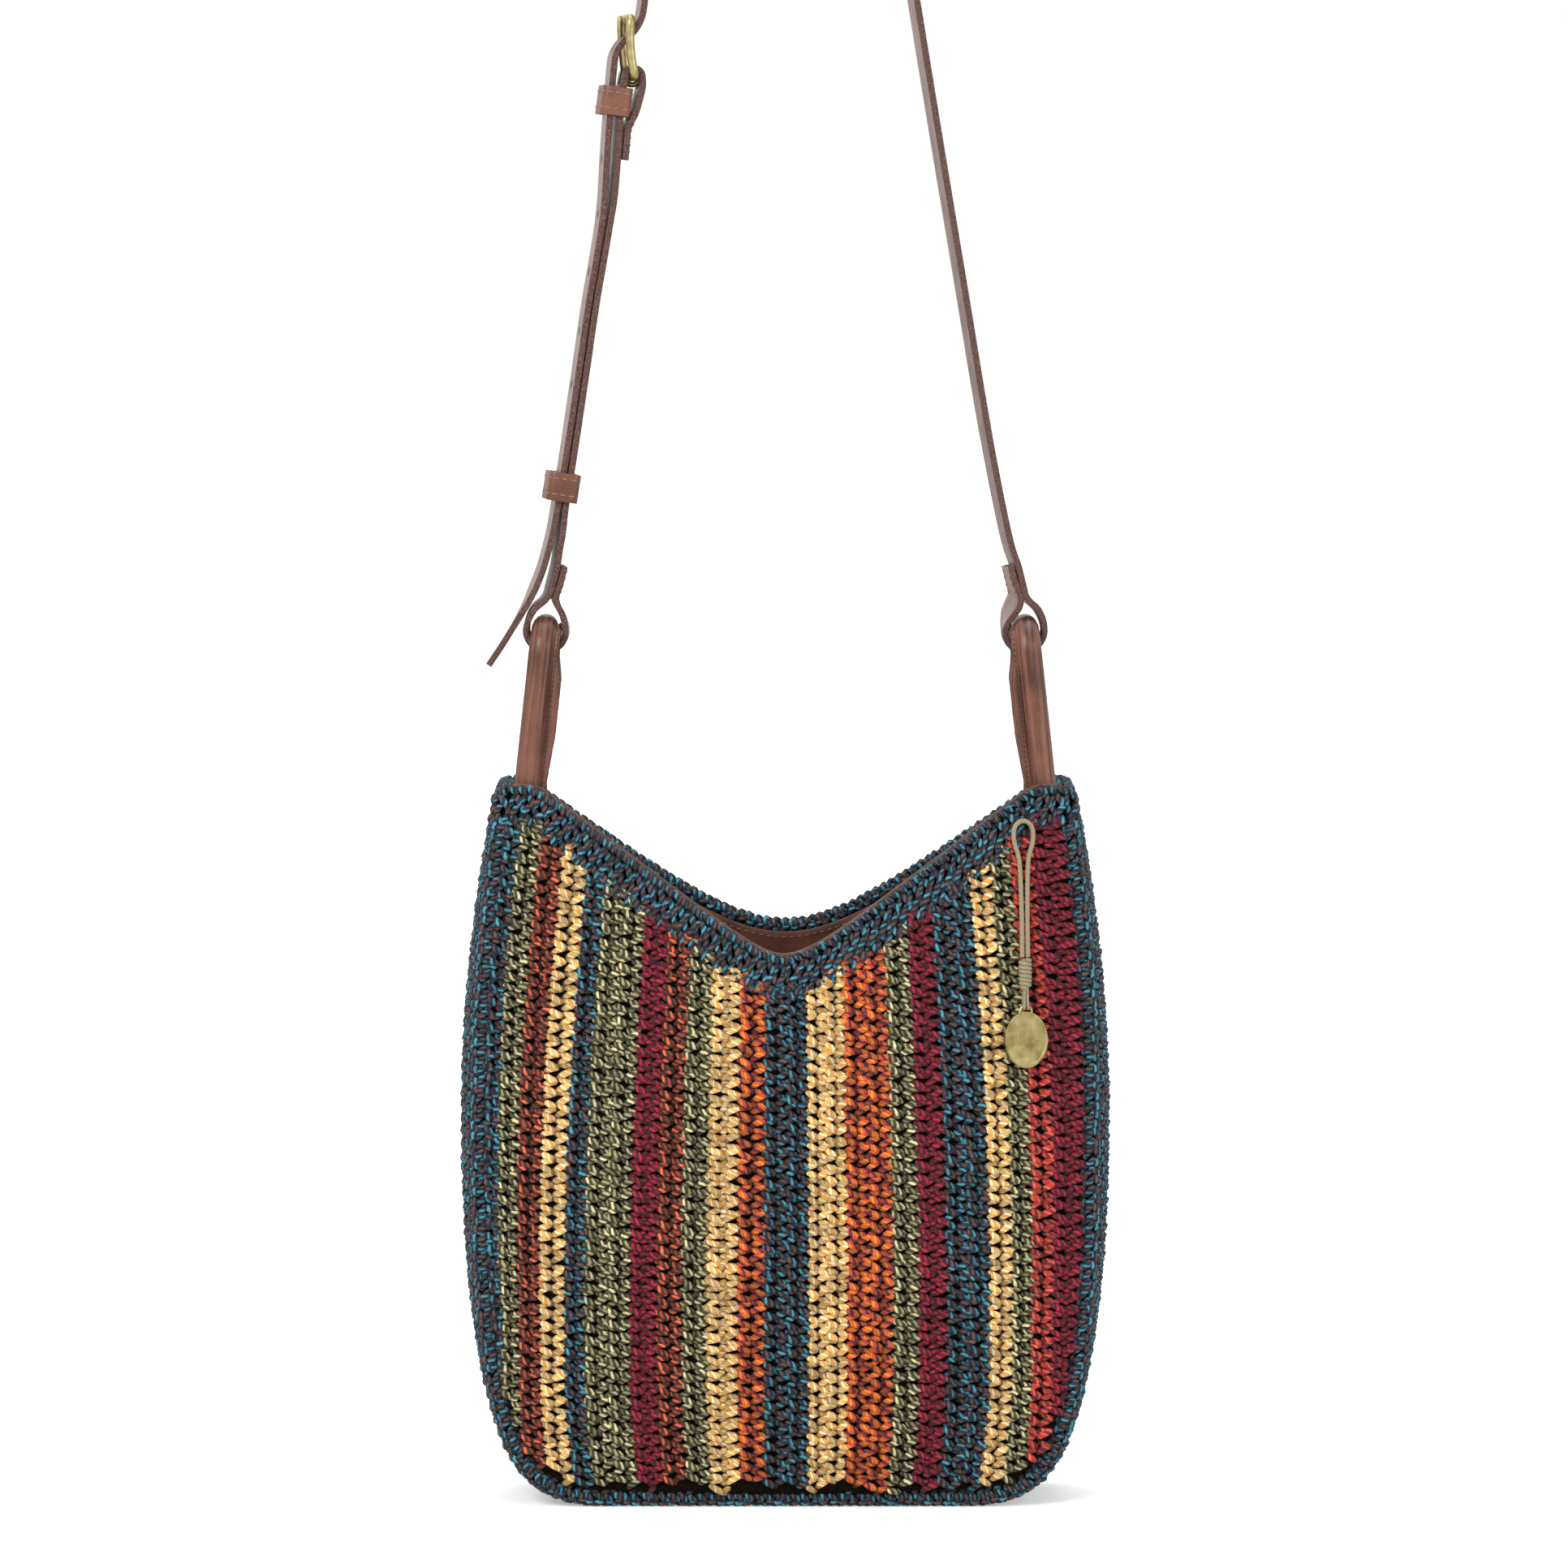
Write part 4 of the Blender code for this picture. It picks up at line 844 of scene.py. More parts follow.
def fill_middle(strands, yarn, surface, across, front):
    """Loops in the middle of a wide ridge, where the two rows of stitches don't quite meet."""
    u = across / PANEL_HALF
    low = column_bottom(u)
    high = float(column_top(u, front, BORDER_H))
    count = int((high - low) / (STITCH * 0.5))
    along = low + (np.arange(count) + 0.5) * (high - low) / count
    strands.lay(yarn, surface, across + jitter(count, 0.3 * MM), along + jitter(count, 0.3 * MM),
                2.6 * MM, 1.6 * MM + jitter(count, 0.6 * MM), (1.0 * MM, 1.0 * MM), 0.8 * MM, YARN_R)


def crochet_gusset(strands):
    surface, length = gusset_surface()
    half = SEAM_Y - SEAM_INSET
    width = 2 * half / GUSSET_ROWS
    for row in range(GUSSET_ROWS):
        side = 1 if row % 2 else -1
        across = -half + width * (row + 0.5)
        lay_row(strands, "gusset", surface, across, width, 1 * MM, length - 1 * MM, side)


def crochet_border(strands):
    surface, length = border_surface()
    for across, width, side in BORDER_ROWS:
        lay_row(strands, "border", surface, across, width, 0.0, length, side)


def lay_chain(strands, name, surface, along, chain, width, arch, girth, aside, askew):
    """A chain of slanting strands along a rim or seam, at one angle round it."""
    angle, slant, height, lit = chain
    count = len(along)
    strands.lay(name, surface, stray(count, angle, aside), stray(count, along, 0.3 * MM),
                width / height, stray(count, slant, askew), (height, height), arch,
                girth * stray(count, 1, 0.06), lit=lit)


def crochet_rim(strands):
    """Chains roll over the rim to its inside."""
    surface, length = rim_surface()
    count = int(length / RIM_PITCH)
    along = np.arange(count) * length / count
    for chain in RIM_CHAINS:
        lay_chain(strands, "rim", surface, along, chain, RIM_CHAIN_W, 1.0 * MM, 1.42 * MM, 0.07,
                  0.5 * MM)


def crochet_seams(strands):
    """Rope-like chains along each seam."""
    for name, side in (("front_seam", -1), ("back_seam", 1)):
        surface, length = braid_surface(side)
        count = int(length / SEAM_PITCH)
        along = (np.arange(count) + 0.5) * length / count
        for chain in SEAM_CHAINS:
            lay_chain(strands, name, surface, along, chain, SEAM_CHAIN_W, 0.75 * MM, 1.5 * MM, 0.08,
                      0.6 * MM)


def shade_sheet(name, surface, across, along, node, finish, closed=False):
    """A thin near-black sheet on a surface, seen between the strands: painted shade for the fabric deep in
    shadow.
    """
    sides = [surface(across, along, height) for height in (SHADE_SHEET_HALF, -SHADE_SHEET_HALF)]
    rings = np.concatenate([sides[0], sides[1][:, ::-1]], axis=1)
    dress(skin(name, rings, closed=closed), "bag", [finish], (node,))


def lay_shade_sheets():
    """Near-black sheets under the strands and a dark core inside each seam, all painted shade."""
    reach = SEAM_INSET - SEAM_CORE_R + 0.2 * MM
    for node, front in (("front_panel", True), ("back_panel", False)):
        across = np.linspace(-PANEL_HALF - reach, PANEL_HALF + reach, 121)
        share = across / PANEL_HALF
        low = np.array([column_bottom(u) for u in np.clip(share, -1, 1)]) - reach
        high = column_top(share, front, BORDER_H)
        along = low[:, None] + (high - low)[:, None] * np.linspace(0, 1, 50)
        shade_sheet(node + "_cloth", panel_surface(front), across[:, None] + 0 * along, along, node,
              PANEL_PAINTED_SHADE)
    surface, length = gusset_surface()
    across, along = np.meshgrid(np.linspace(-1, 1, 17) * (SEAM_Y - SEAM_INSET + reach),
                                np.linspace(0, length, 260))
    shade_sheet("gusset_cloth", surface, across, along, "gusset", NAVY_PAINTED_SHADE)
    surface, length = border_surface()
    across, along = np.meshgrid(np.linspace(0, BORDER_H, 7),
                                np.linspace(0, length, 300, endpoint=False))
    shade_sheet("border_cloth", surface, across, along, "opening_border", NAVY_PAINTED_SHADE, True)
    for name, side in (("front_seam", -1), ("back_seam", 1)):
        surface, length = braid_surface(side)
        turn, along = np.meshgrid(np.linspace(0, 2 * np.pi, 12, endpoint=False),
                                  np.linspace(0, length, 260))
        # A dark core in painted shade fills each seam between its chains.
        core = skin(name + "_core", surface(turn, along, SEAM_CORE_R))
        dress(core, "bag", [NAVY_PAINTED_SHADE], (name + "_braid",))


def crochet_body():
    strands = Strands()
    crochet_panel(strands, True)
    crochet_panel(strands, False)
    crochet_gusset(strands)
    crochet_border(strands)
    crochet_rim(strands)
    crochet_seams(strands)
    for yarn in YARNS:
        strands.make(yarn, yarn + "_stitches")
    for part in ("gusset", "border", "rim", "front_seam", "back_seam"):
        YARN_FINISHES[part] = YARN_FINISHES["navy"]
        strands.make(part, part + "_stitches")


# Skins and seams of the leather and brass pieces

def skin(name, rings, closed=False):
    """A skin through rings of points, capped at its ends unless it closes on itself."""
    count, sides = rings.shape[:2]
    rows = count if closed else count - 1
    i = np.arange(rows)[:, None]
    k = np.arange(sides)[None, :]
    following = (k + 1) % sides
    upper = (i + 1) % count
    quads = np.stack([i * sides + k, i * sides + following, upper * sides + following,
                      upper * sides + k], axis=-1)
    lengths = run_lengths(rings.mean(axis=1), closed=closed)
    u0 = np.broadcast_to(lengths[:rows, None], (rows, sides))
    u1 = np.broadcast_to(lengths[1:rows + 1, None], (rows, sides))
    v0 = np.broadcast_to(k / sides, (rows, sides))
    v1 = v0 + 1 / sides
    uvs = np.stack([np.stack([u0, v0], -1), np.stack([u0, v1], -1), np.stack([u1, v1], -1),
                    np.stack([u1, v0], -1)], axis=2).reshape(-1, 2)
    faces = [quads.reshape(-1, 4)]
    if not closed:
        caps = np.stack([np.arange(sides)[::-1], np.arange(sides) + (count - 1) * sides])
        faces.append(caps)
        uvs = np.concatenate([uvs, np.zeros((2 * sides, 2))])
    obj = mesh_object(name, rings.reshape(-1, 3), faces, uvs)
    build = bmesh.new()
    build.from_mesh(obj.data)
    bmesh.ops.recalc_face_normals(build, faces=build.faces)
    build.to_mesh(obj.data)
    build.free()
    return obj


def dress(obj, body, finishes, nodes=(), sharp=None):
    """Gives a piece its finishes, its body, and the nodes that it stands for."""
    for finish in finishes:
        obj.data.materials.append(finish)
    if sharp is not None:
        obj.data.set_sharp_from_angle(angle=math.radians(sharp))
    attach(obj, body)
    if nodes:
        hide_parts(*nodes)
    return obj


def cut_out(obj, cutters):
    for cutter in cutters:
        modifier = obj.modifiers.new("cut", "BOOLEAN")
        modifier.object = cutter
        modifier.operation = "DIFFERENCE"
        bpy.ops.object.select_all(action="DESELECT")
        bpy.context.view_layer.objects.active = obj
        bpy.ops.object.modifier_apply(modifier=modifier.name)
        bpy.data.objects.remove(cutter)


def smooth_line(points, steps):
    """A smooth curve through the points, with so many steps between neighbours."""
    points = np.asarray(points, dtype=float)
    ends = np.concatenate([[2 * points[0] - points[1]], points, [2 * points[-1] - points[-2]]])
    t = (np.arange(steps) / steps)[:, None]
    curve = []
    for a, b, c, d in zip(ends, ends[1:], ends[2:], ends[3:]):
        curve.append(0.5 * (2 * b + (c - a) * t + (2 * a - 5 * b + 4 * c - d) * t ** 2
                            + (3 * b - 3 * c + d - a) * t ** 3))
    return np.concatenate(curve + [points[-1:]])


def even(line, spacing):
    """The same line with points at an even spacing."""
    lengths = run_lengths(line)
    count = max(2, int(round(lengths[-1] / spacing)) + 1)
    return follow(np.linspace(0, lengths[-1], count), lengths, line)


def round_section(radius, sides):
    angle = 2 * np.pi * np.arange(sides) / sides
    return radius * np.stack([np.cos(angle), np.sin(angle)], axis=-1)


def sweep(line, first, section):
    """Rings along a line. first is roughly the direction of the section's first axis."""
    along = unit(np.gradient(line, axis=0))
    first = np.broadcast_to(first, line.shape)
    first = unit(first - along * (first * along).sum(axis=-1, keepdims=True))
    second = np.cross(along, first)
    section = np.broadcast_to(section, (len(line),) + section.shape[-2:])
    rings = (line[:, None, :] + first[:, None, :] * section[..., :1]
             + second[:, None, :] * section[..., 1:])
    return rings, first, second


def sew(name, starts, ends, out, body, radius, thread):
    """A row of stitches, each an arch of thread from a start to an end."""
    s = np.linspace(-0.5, 0.5, 5)
    middle = (starts + ends) / 2
    rise = radius * (0.8 * np.cos(np.pi * s) - 0.4)
    centre = (middle[:, None, :] + (ends - starts)[:, None, :] * s[None, :, None]
              + out[:, None, :] * rise[None, :, None])
    girth = np.broadcast_to(radius * (0.55 + 0.45 * np.cos(np.pi * s)), centre.shape[:2])
    rings = rings_round(centre, np.broadcast_to(out[:, None, :], centre.shape), girth, 6)
    lengths = np.broadcast_to(s * 2 * MM, centre.shape[:2])
    obj = strand_mesh(name, rings, lengths, np.ones(centre.shape[:2]))
    return dress(obj, body, [thread])


def seat(turn, lean, place):
    """Leans a piece that was made upright in the XZ plane, turns it and moves it to its place."""
    return Matrix.Translation(place) @ Matrix.Rotation(turn, 4, "Z") @ Matrix.Rotation(lean, 4, "Y")


def placed(points, turn, lean, place):
    matrix = np.array(seat(turn, lean, place))
    return points @ matrix[:3, :3].T + matrix[:3, 3]


def settle(name, scale=(1, 1, 1), matrix=Matrix()):
    """Scales the new primitive and keeps its place in its mesh, so its object is at the origin."""
    obj = bpy.context.object
    obj.name = obj.data.name = name
    obj.scale = scale
    obj.data.transform(matrix @ obj.matrix_basis)
    obj.matrix_basis = Matrix()
    obj.data.shade_smooth()
    return obj


def pick(obj, mode, test):
    """Selects the faces or edges that pass a test, in edit mode."""
    bpy.ops.mesh.select_mode(type=mode)
    bpy.ops.mesh.select_all(action="DESELECT")
    build = bmesh.from_edit_mesh(obj.data)
    build.normal_update()
    for part in build.faces if mode == "FACE" else build.edges:
        part.select_set(bool(test(part)))
    bmesh.update_edit_mesh(obj.data)


def finish_with(obj, kind, **settings):
    modifier = obj.modifiers.new(kind.lower(), kind)
    for name, value in settings.items():
        setattr(modifier, name, value)
    bpy.context.view_layer.objects.active = obj
    bpy.ops.object.modifier_apply(modifier=modifier.name)


# Rolled handles

def handle_line(side):
    """Centre line of a handle, from the foot of its front leg over the top to the back one."""
    leg_y = SEAM_Y - CROCHET / 2 - RIDGE - FACING - 2 * GAP - TUBE_R
    turn = np.linspace(0, math.pi / 2, 16)
    y = np.concatenate([[leg_y] * 3, leg_y - BEND_R * (1 - np.cos(turn))])
    z = np.concatenate([[FOOT_Z, CORNER_Z, (CORNER_Z + TOP_Z - BEND_R) / 2],
                        TOP_Z - BEND_R + BEND_R * np.sin(turn)])
    y = np.concatenate([y, -y[::-1]])
    z = np.concatenate([z, z[::-1]])
    share = np.maximum(0, (z - CORNER_Z) / (TOP_Z - CORNER_Z))
    line = np.stack([side * (FOOT_X + (TOP_X - FOOT_X) * share), -y, z], axis=-1)
    return even(line, 1.1 * MM)


def handle_section(welt):
    """Section of the rolled tube, whose two edges meet in a welt along the first axis."""
    r = TUBE_R
    lip = [(r + beyond * MM, share, half * MM) for beyond, share, half in WELT_EDGE]
    lip.append((r * math.cos(0.27) - 0.1 * MM, 0, 1.4 * MM))
    tube = [(r * math.cos(a), 0, r * math.sin(a)) for a in np.linspace(0.42, math.pi, 15)]
    half = lip + tube
    outline = np.array(half + [(a, w, -b) for a, w, b in reversed(half[1:-1])])
    a = outline[None, :, 0] + outline[None, :, 1] * welt[:, None]
    b = np.broadcast_to(outline[None, :, 2], a.shape)
    return np.stack([a, b], axis=-1)


def make_handle(name, side):
    """Leather rolled round a rope, with a row of stitches on each face of its welt."""
    line = handle_line(side)
    z = line[:, 2]
    near_top = np.clip((z - TOP_Z + 2.2 * BEND_R) / BEND_R, 0, 1)
    near_foot = np.clip(1 - (z - CORNER_Z) / (2 * BEND_R), 0, 1)
    welt = WELT + (WELT_AT_TOP - WELT) * near_top + (WELT_AT_FOOT - WELT) * near_foot
    lengths = run_lengths(line)
    wavy = welt + WELT_WAVE * np.sin(2 * np.pi * lengths / WELT_PITCH) + jitter(len(line), 0.04 * MM)
    rings, first, second = sweep(line, (-side, 0.0, 0.0), handle_section(wavy))
    dress(skin(name + "_leather", rings), "bag", [HANDLE_LEATHER],
          (name + "_cover",), sharp=50)
    at = np.arange(WELT_PITCH, lengths[-1] - WELT_PITCH, WELT_PITCH)
    at = at[follow(at, lengths, line)[:, 2] > CORNER_Z - 6 * MM]
    starts, ends, outs = [], [], []
    for face in (-1, 1):
        for store, spot in ((starts, at - WELT_STITCH / 2), (ends, at + WELT_STITCH / 2)):
            across = unit(follow(spot, lengths, first))
            out = unit(follow(spot, lengths, second)) * face
            store.append(follow(spot, lengths, line) + across * (TUBE_R + 0.75 * MM) + out * 1.42 * MM)
        outs.append(unit(follow(at, lengths, second)) * face)
    sew(name + "_stitches", np.concatenate(starts), np.concatenate(ends), np.concatenate(outs),
        "bag", 0.27 * MM, DARK_THREAD)


# Straps

def strap_turn(z):
    low = np.clip((z - TOP_Z) / TURN_LOW, 0, 1)
    high = np.clip((CROWN_Z - 10 * MM - z) / TURN_HIGH, 0, 1)
    return STRAP_TURN * low * high


def route(*stretches):
    """Joins stretches in X and Z, in millimetres, into a smooth hanging line."""
    flat = np.array([point for stretch in stretches for point in stretch], dtype=float) * MM
    line = smooth_line(np.stack([flat[:, 0], 0 * flat[:, 0], flat[:, 1]], axis=-1), 6)
    middle = HEEL_BAR[0] + (line[:, 2] - HEEL_BAR[2]) * STRAP_LEAN
    swing = (line[:, 0] - middle) * np.tan(strap_turn(line[:, 2]))
    line[:, 1] = np.where(line[:, 0] > 0, 0.0, swing)
    return line


def at_handle(side):
    return [(side * (TOP_X / MM + x), TOP_Z / MM + z) for x, z in HANDLE_LOOP]


def crown():
    lean = math.atan(0.167)
    angles = [lean + (math.pi - 2 * lean) * i / 8 for i in range(9)]
    return [(CROWN_R / MM * math.cos(a), CROWN_Z / MM + CROWN_R / MM * math.sin(a)) for a in angles]


def strap_section():
    """Section of the strap with rounded edges: the first axis runs across its width."""
    turn = np.radians([0, 30, 60, 90])
    wide, thick = STRAP_W / 2, STRAP_T / 2
    quarter = [(0.0, thick), (wide - STRAP_ROUND - 1.2 * MM, thick)]
    for angle in turn:
        quarter.append((wide - STRAP_ROUND * (1 - math.sin(angle)),
                        thick - STRAP_ROUND * (1 - math.cos(angle))))
    half = quarter + [(a, -b) for a, b in reversed(quarter)]
    return np.array(half + [(-a, b) for a, b in reversed(half[1:-1])])


def strap(name, line, node, twist=0.0):
    """A strap along a line, its cut edges in their own finish, and its directions at each point."""
    section = strap_section()
    angle = strap_turn(line[:, 2]) + twist
    width = np.stack([-np.sin(angle), np.cos(angle), 0 * angle], axis=-1)
    rings, across, through = sweep(line, width, section)
    obj = skin(name, rings)
    middles = (section + np.roll(section, -1, axis=0)) / 2
    edge = np.abs(middles[:, 0]) > STRAP_W / 2 - STRAP_ROUND * 0.8
    marks = np.concatenate([np.tile(edge, len(line) - 1), [True, True]]).astype(np.int32)
    dress(obj, "bag", [STRAP_FACE, STRAP_EDGE], (node,))
    obj.data.polygons.foreach_set("material_index", marks)
    return obj, across, through


def round_ended_cutter(name, place, along, across, length):
    """Cuts a round-ended hole through the strap, long along the strap."""
    angle = 2 * np.pi * (np.arange(32) + 0.5) / 32
    reach = length / 2 - HOLE_W / 2
    a = HOLE_W / 2 * np.cos(angle) + np.where(np.cos(angle) > 0, reach, -reach)
    b = HOLE_W / 2 * np.sin(angle)
    through = np.cross(along, across)
    rings = [place + along * a[:, None] + across * b[:, None] + through * depth
             for depth in (-1.5 * STRAP_T, 1.5 * STRAP_T)]
    return skin(name, np.array(rings))


def lap_stitches(name, line, across, through, begin, end, face):
    """Stitches along both edges of a lap, on one of its faces."""
    lengths = run_lengths(line)
    at = np.arange(begin, end, LAP_PITCH)
    starts, ends, outs = [], [], []
    for edge in (-1, 1):
        out = unit(follow(at, lengths, through)) * face
        lift = out * STRAP_T / 2
        side = unit(follow(at, lengths, across)) * edge * (STRAP_W / 2 - LAP_INSET)
        starts.append(follow(at - LAP_STITCH / 2, lengths, line) + side + lift)
        ends.append(follow(at + LAP_STITCH / 2, lengths, line) + side + lift)
        outs.append(out)
    sew(name, np.concatenate(starts), np.concatenate(ends), np.concatenate(outs), "bag", 0.33 * MM,
        THREAD)


def nearest(line, x, z):
    return int(np.argmin(np.hypot(line[:, 0] - x * MM, line[:, 2] - z * MM)))


def make_long_strap():
    """From the right handle over the crown and through the buckle to the free tail, with its holes."""
    line = route(at_handle(1), RIGHT_LEG, crown(), LEFT_RUN, BUCKLE_CROSSING, TAIL)
    lengths = run_lengths(line)
    twist = LAP_TWIST * np.exp(-((lengths - 19 * MM) / (6.5 * MM)) ** 2)
    shoulder, across, through = strap("long_strap", line, "shoulder_strap", twist)
    lap_stitches("right_lap_stitches", line, across, through, *LAP_SEWN,
                 1 if through[4, 0] < 0 else -1)
    hole = nearest(line, *BUCKLE_CROSSING[4])
    along = unit(np.gradient(line, axis=0))
    cutters = [round_ended_cutter("hole_in_use", line[hole], along[hole], across[hole], HOLE_LENGTH)]
    for i in range(SPARE_HOLES):
        k = int(np.searchsorted(lengths, lengths[hole] + HOLE_PITCH * (i + 2)))
        cutters.append(round_ended_cutter("spare_hole", line[k], along[k], across[k], HOLE_W))
    cut_out(shoulder, cutters)
    shoulder.data.set_sharp_from_angle(angle=STRAP_SHARP)


def make_short_strap():
    """From the left handle up, folded round the heel bar and sewn to itself."""
    turn = np.pi * (1 - np.arange(7) / 6)
    radius = BAR_R + GAP + STRAP_T / 2
    fold = [((HEEL_BAR[0] + radius * math.cos(a)) / MM, (HEEL_BAR[2] + radius * math.sin(a)) / MM)
            for a in turn]
    line = route(at_handle(-1), BUCKLE_LEG, fold, BUCKLE_LAP)
    short, across, through = strap("buckle_side_strap", line, "buckle_strap")
    lap_stitches("left_lap_stitches", line, across, through, *LAP_SEWN,
                 1 if through[4, 0] > 0 else -1)
    total = run_lengths(line)[-1]
    lap_stitches("buckle_lap_stitches", line, across, through, total - 16 * MM, total - 2 * MM,
                 1 if through[-4, 0] > 0 else -1)
    angle = 2 * np.pi * np.arange(40) / 40
    slot = []
    for depth in (-SLOT_W / 2, SLOT_W / 2):
        slot.append(np.stack([SLOT_L / 2 * np.cos(angle), np.full(40, depth),
                              SLOT_L / 2 * np.sin(angle) + 2.5 * MM], axis=-1))
    cut_out(short, [skin("prong_slot", placed(np.array(slot), STRAP_TURN, 0.0, HEEL_BAR))])
    short.data.set_sharp_from_angle(angle=STRAP_SHARP)


# Buckle and keepers

def rounded_loop(width, height, radius, steps):
    """Corner-rounded rectangle in Y and Z."""
    points = []
    for sy, sz, start in ((1, 1, 0), (-1, 1, 1), (-1, -1, 2), (1, -1, 3)):
        for i in range(steps + 1):
            angle = math.pi / 2 * (start + i / steps)
            points.append((0.0, sy * (width / 2 - radius) + radius * math.cos(angle),
                           sz * (height / 2 - radius) + radius * math.sin(angle)))
    return np.array(points)


def make_buckle_frame():
    """A bowed frame of round bar."""
    height = BUCKLE_LINE_H
    bpy.ops.mesh.primitive_plane_add(size=1, rotation=(0, math.pi / 2, 0))
    outline = settle("brass_buckle", (height, BUCKLE_LINE_W, 1))
    bpy.ops.object.mode_set(mode="EDIT")
    bpy.ops.mesh.select_all(action="SELECT")
    bpy.ops.mesh.bevel(offset=BUCKLE_CORNER, segments=8, affect="VERTICES")
    bpy.ops.mesh.select_all(action="SELECT")
    bpy.ops.mesh.delete(type="ONLY_FACE")
    pick(outline, "EDGE", lambda edge: edge.calc_length() > 2 * MM)
    bpy.ops.mesh.subdivide(number_cuts=20)
    bpy.ops.object.mode_set(mode="OBJECT")
    for vertex in outline.data.vertices:
        vertex.co.x = -BUCKLE_BOW * (1 - (2 * vertex.co.z / height) ** 2)
    bpy.ops.object.convert(target="CURVE")
    bpy.context.object.data.bevel_depth = BAR_R
    bpy.context.object.data.bevel_resolution = 8
    bpy.ops.object.convert(target="MESH")
    ring = settle("brass_buckle",
                  matrix=seat(STRAP_TURN, -BUCKLE_LEAN, HEEL_BAR) @ Matrix.Translation((0, 0, height / 2)))
    bpy.ops.object.mode_set(mode="EDIT")
    bpy.ops.mesh.select_all(action="SELECT")
    bpy.ops.mesh.remove_doubles(threshold=0.01 * MM)
    bpy.ops.mesh.normals_make_consistent(inside=False)
    bpy.ops.object.mode_set(mode="OBJECT")
    dress(ring, "buckle", [BRASS], ("buckle_frame",))


def make_prong():
    """The prong curls round the heel bar and rests on the frame's far bar."""
    height = BUCKLE_LINE_H
    hook = BAR_R + PRONG_CLEAR + PRONG_R
    turn = math.pi * (1.0 + 1.55 * np.arange(24) / 23)[::-1]
    curl = np.stack([hook * np.cos(turn), 0 * turn, hook * np.sin(turn)], axis=-1)
    bed = -hook
    straight = smooth_line([curl[-1], (bed - 0.4 * MM, 0, height * 0.4),
                            (bed - 0.4 * MM, 0, height * 0.8), (bed, 0, height),
                            (bed + 0.3 * MM, 0, height + 1.4 * MM)], 6)
    line = np.concatenate([curl[:-1], straight])
    girth = np.ones(len(line))
    girth[-7:] = np.linspace(0.95, 0.6, 7)
    section = round_section(PRONG_R, 14)[None] * girth[:, None, None]
    rings, _, _ = sweep(line, (0.0, 1.0, 0.0), section)
    prong = skin("brass_prong", placed(rings, STRAP_TURN, -BUCKLE_LEAN, HEEL_BAR))
    dress(prong, "prong", [BRASS], ("buckle_prong",), sharp=60)


def make_keeper(name, node, body, place, inside, lean):
    """A stitched leather band round two layers of strap, inside being its inner thickness."""
    width = STRAP_W + 2 * KEEPER_W_CLEAR
    half = KEEPER_H / 2
    bpy.ops.mesh.primitive_cube_add(size=1)
    band = settle(name, (inside, width, KEEPER_H))
    bpy.ops.object.mode_set(mode="EDIT")
    pick(band, "FACE", lambda face: abs(face.normal.z) > 0.9)
    bpy.ops.mesh.delete(type="FACE")
    pick(band, "EDGE", lambda edge: abs(edge.verts[0].co.z - edge.verts[1].co.z) > half)
    bpy.ops.mesh.bevel(offset=KEEPER_CORNER, segments=7)
    bpy.ops.object.mode_set(mode="OBJECT")
    finish_with(band, "SOLIDIFY", thickness=KEEPER_T, offset=1)
    finish_with(band, "BEVEL", width=0.4 * MM, segments=3, limit_method="ANGLE",
                angle_limit=math.radians(50))
    middle = HEEL_BAR[0] + (place[2] - HEEL_BAR[2]) * STRAP_LEAN
    turn = float(strap_turn(np.array(place[2])))
    place = (place[0], (place[0] - middle) * math.tan(turn), place[2])
    band.data.transform(seat(STRAP_TURN, lean, place))
    dress(band, body, [KEEPER_LEATHER], (node,), sharp=60)
    keeper_stitches(name, body, place, width, inside, lean)


def keeper_stitches(name, body, place, width, inside, lean):
    """A row of stitches near each edge of a keeper, all the way round it."""
    loop = rounded_loop(width + 2 * KEEPER_T, inside + 2 * KEEPER_T, KEEPER_CORNER + KEEPER_T, 7)
    loop = np.concatenate([loop, loop[:1]])
    loop = np.stack([loop[:, 2], loop[:, 1], 0 * loop[:, 2]], axis=-1)
    lengths = run_lengths(loop)
    count = int(lengths[-1] / KEEPER_PITCH)
    at = (np.arange(count) + 0.5) * lengths[-1] / count
    starts, ends, outs = [], [], []
    for z in KEEPER_ROWS:
        lift = np.array([0, 0, z])
        first = follow(at - KEEPER_STITCH / 2, lengths, loop)
        last = follow((at + KEEPER_STITCH / 2) % lengths[-1], lengths, loop)
        way = unit(last - first)
        out = np.cross(way, (0.0, 0.0, 1.0))
        out = out * np.sign((out * follow(at, lengths, loop)).sum(axis=-1, keepdims=True))
        starts.append(first + lift)
        ends.append(last + lift)
        outs.append(out)
    starts, ends = (placed(np.concatenate(p), STRAP_TURN, lean, place) for p in (starts, ends))
    outs = placed(np.concatenate(outs), STRAP_TURN, lean, (0, 0, 0))
    sew(name + "_stitches", starts, ends, outs, body, 0.4 * MM, THREAD)


# Charm

def charm_matrix():
    u = CHARM_X / float(column_x(np.array(1.0), np.array(CHARM_Z)))
    surface = float(half_depth(np.array(u), np.array(CHARM_Z), True)) + CROCHET / 2 + RIDGE
    place = Vector((CHARM_X, -(surface + GAP + CHARM_CORD_R + 1.1 * MM), CHARM_Z))
    return (Matrix.Translation(place) @ Matrix.Rotation(CHARM_TURN, 4, "Z")
            @ Matrix.Rotation(-CHARM_LEAN, 4, "X"))


def in_charm(points):
    matrix = charm_matrix()
    return points @ np.array(matrix.to_3x3()).T + np.array(matrix.translation)


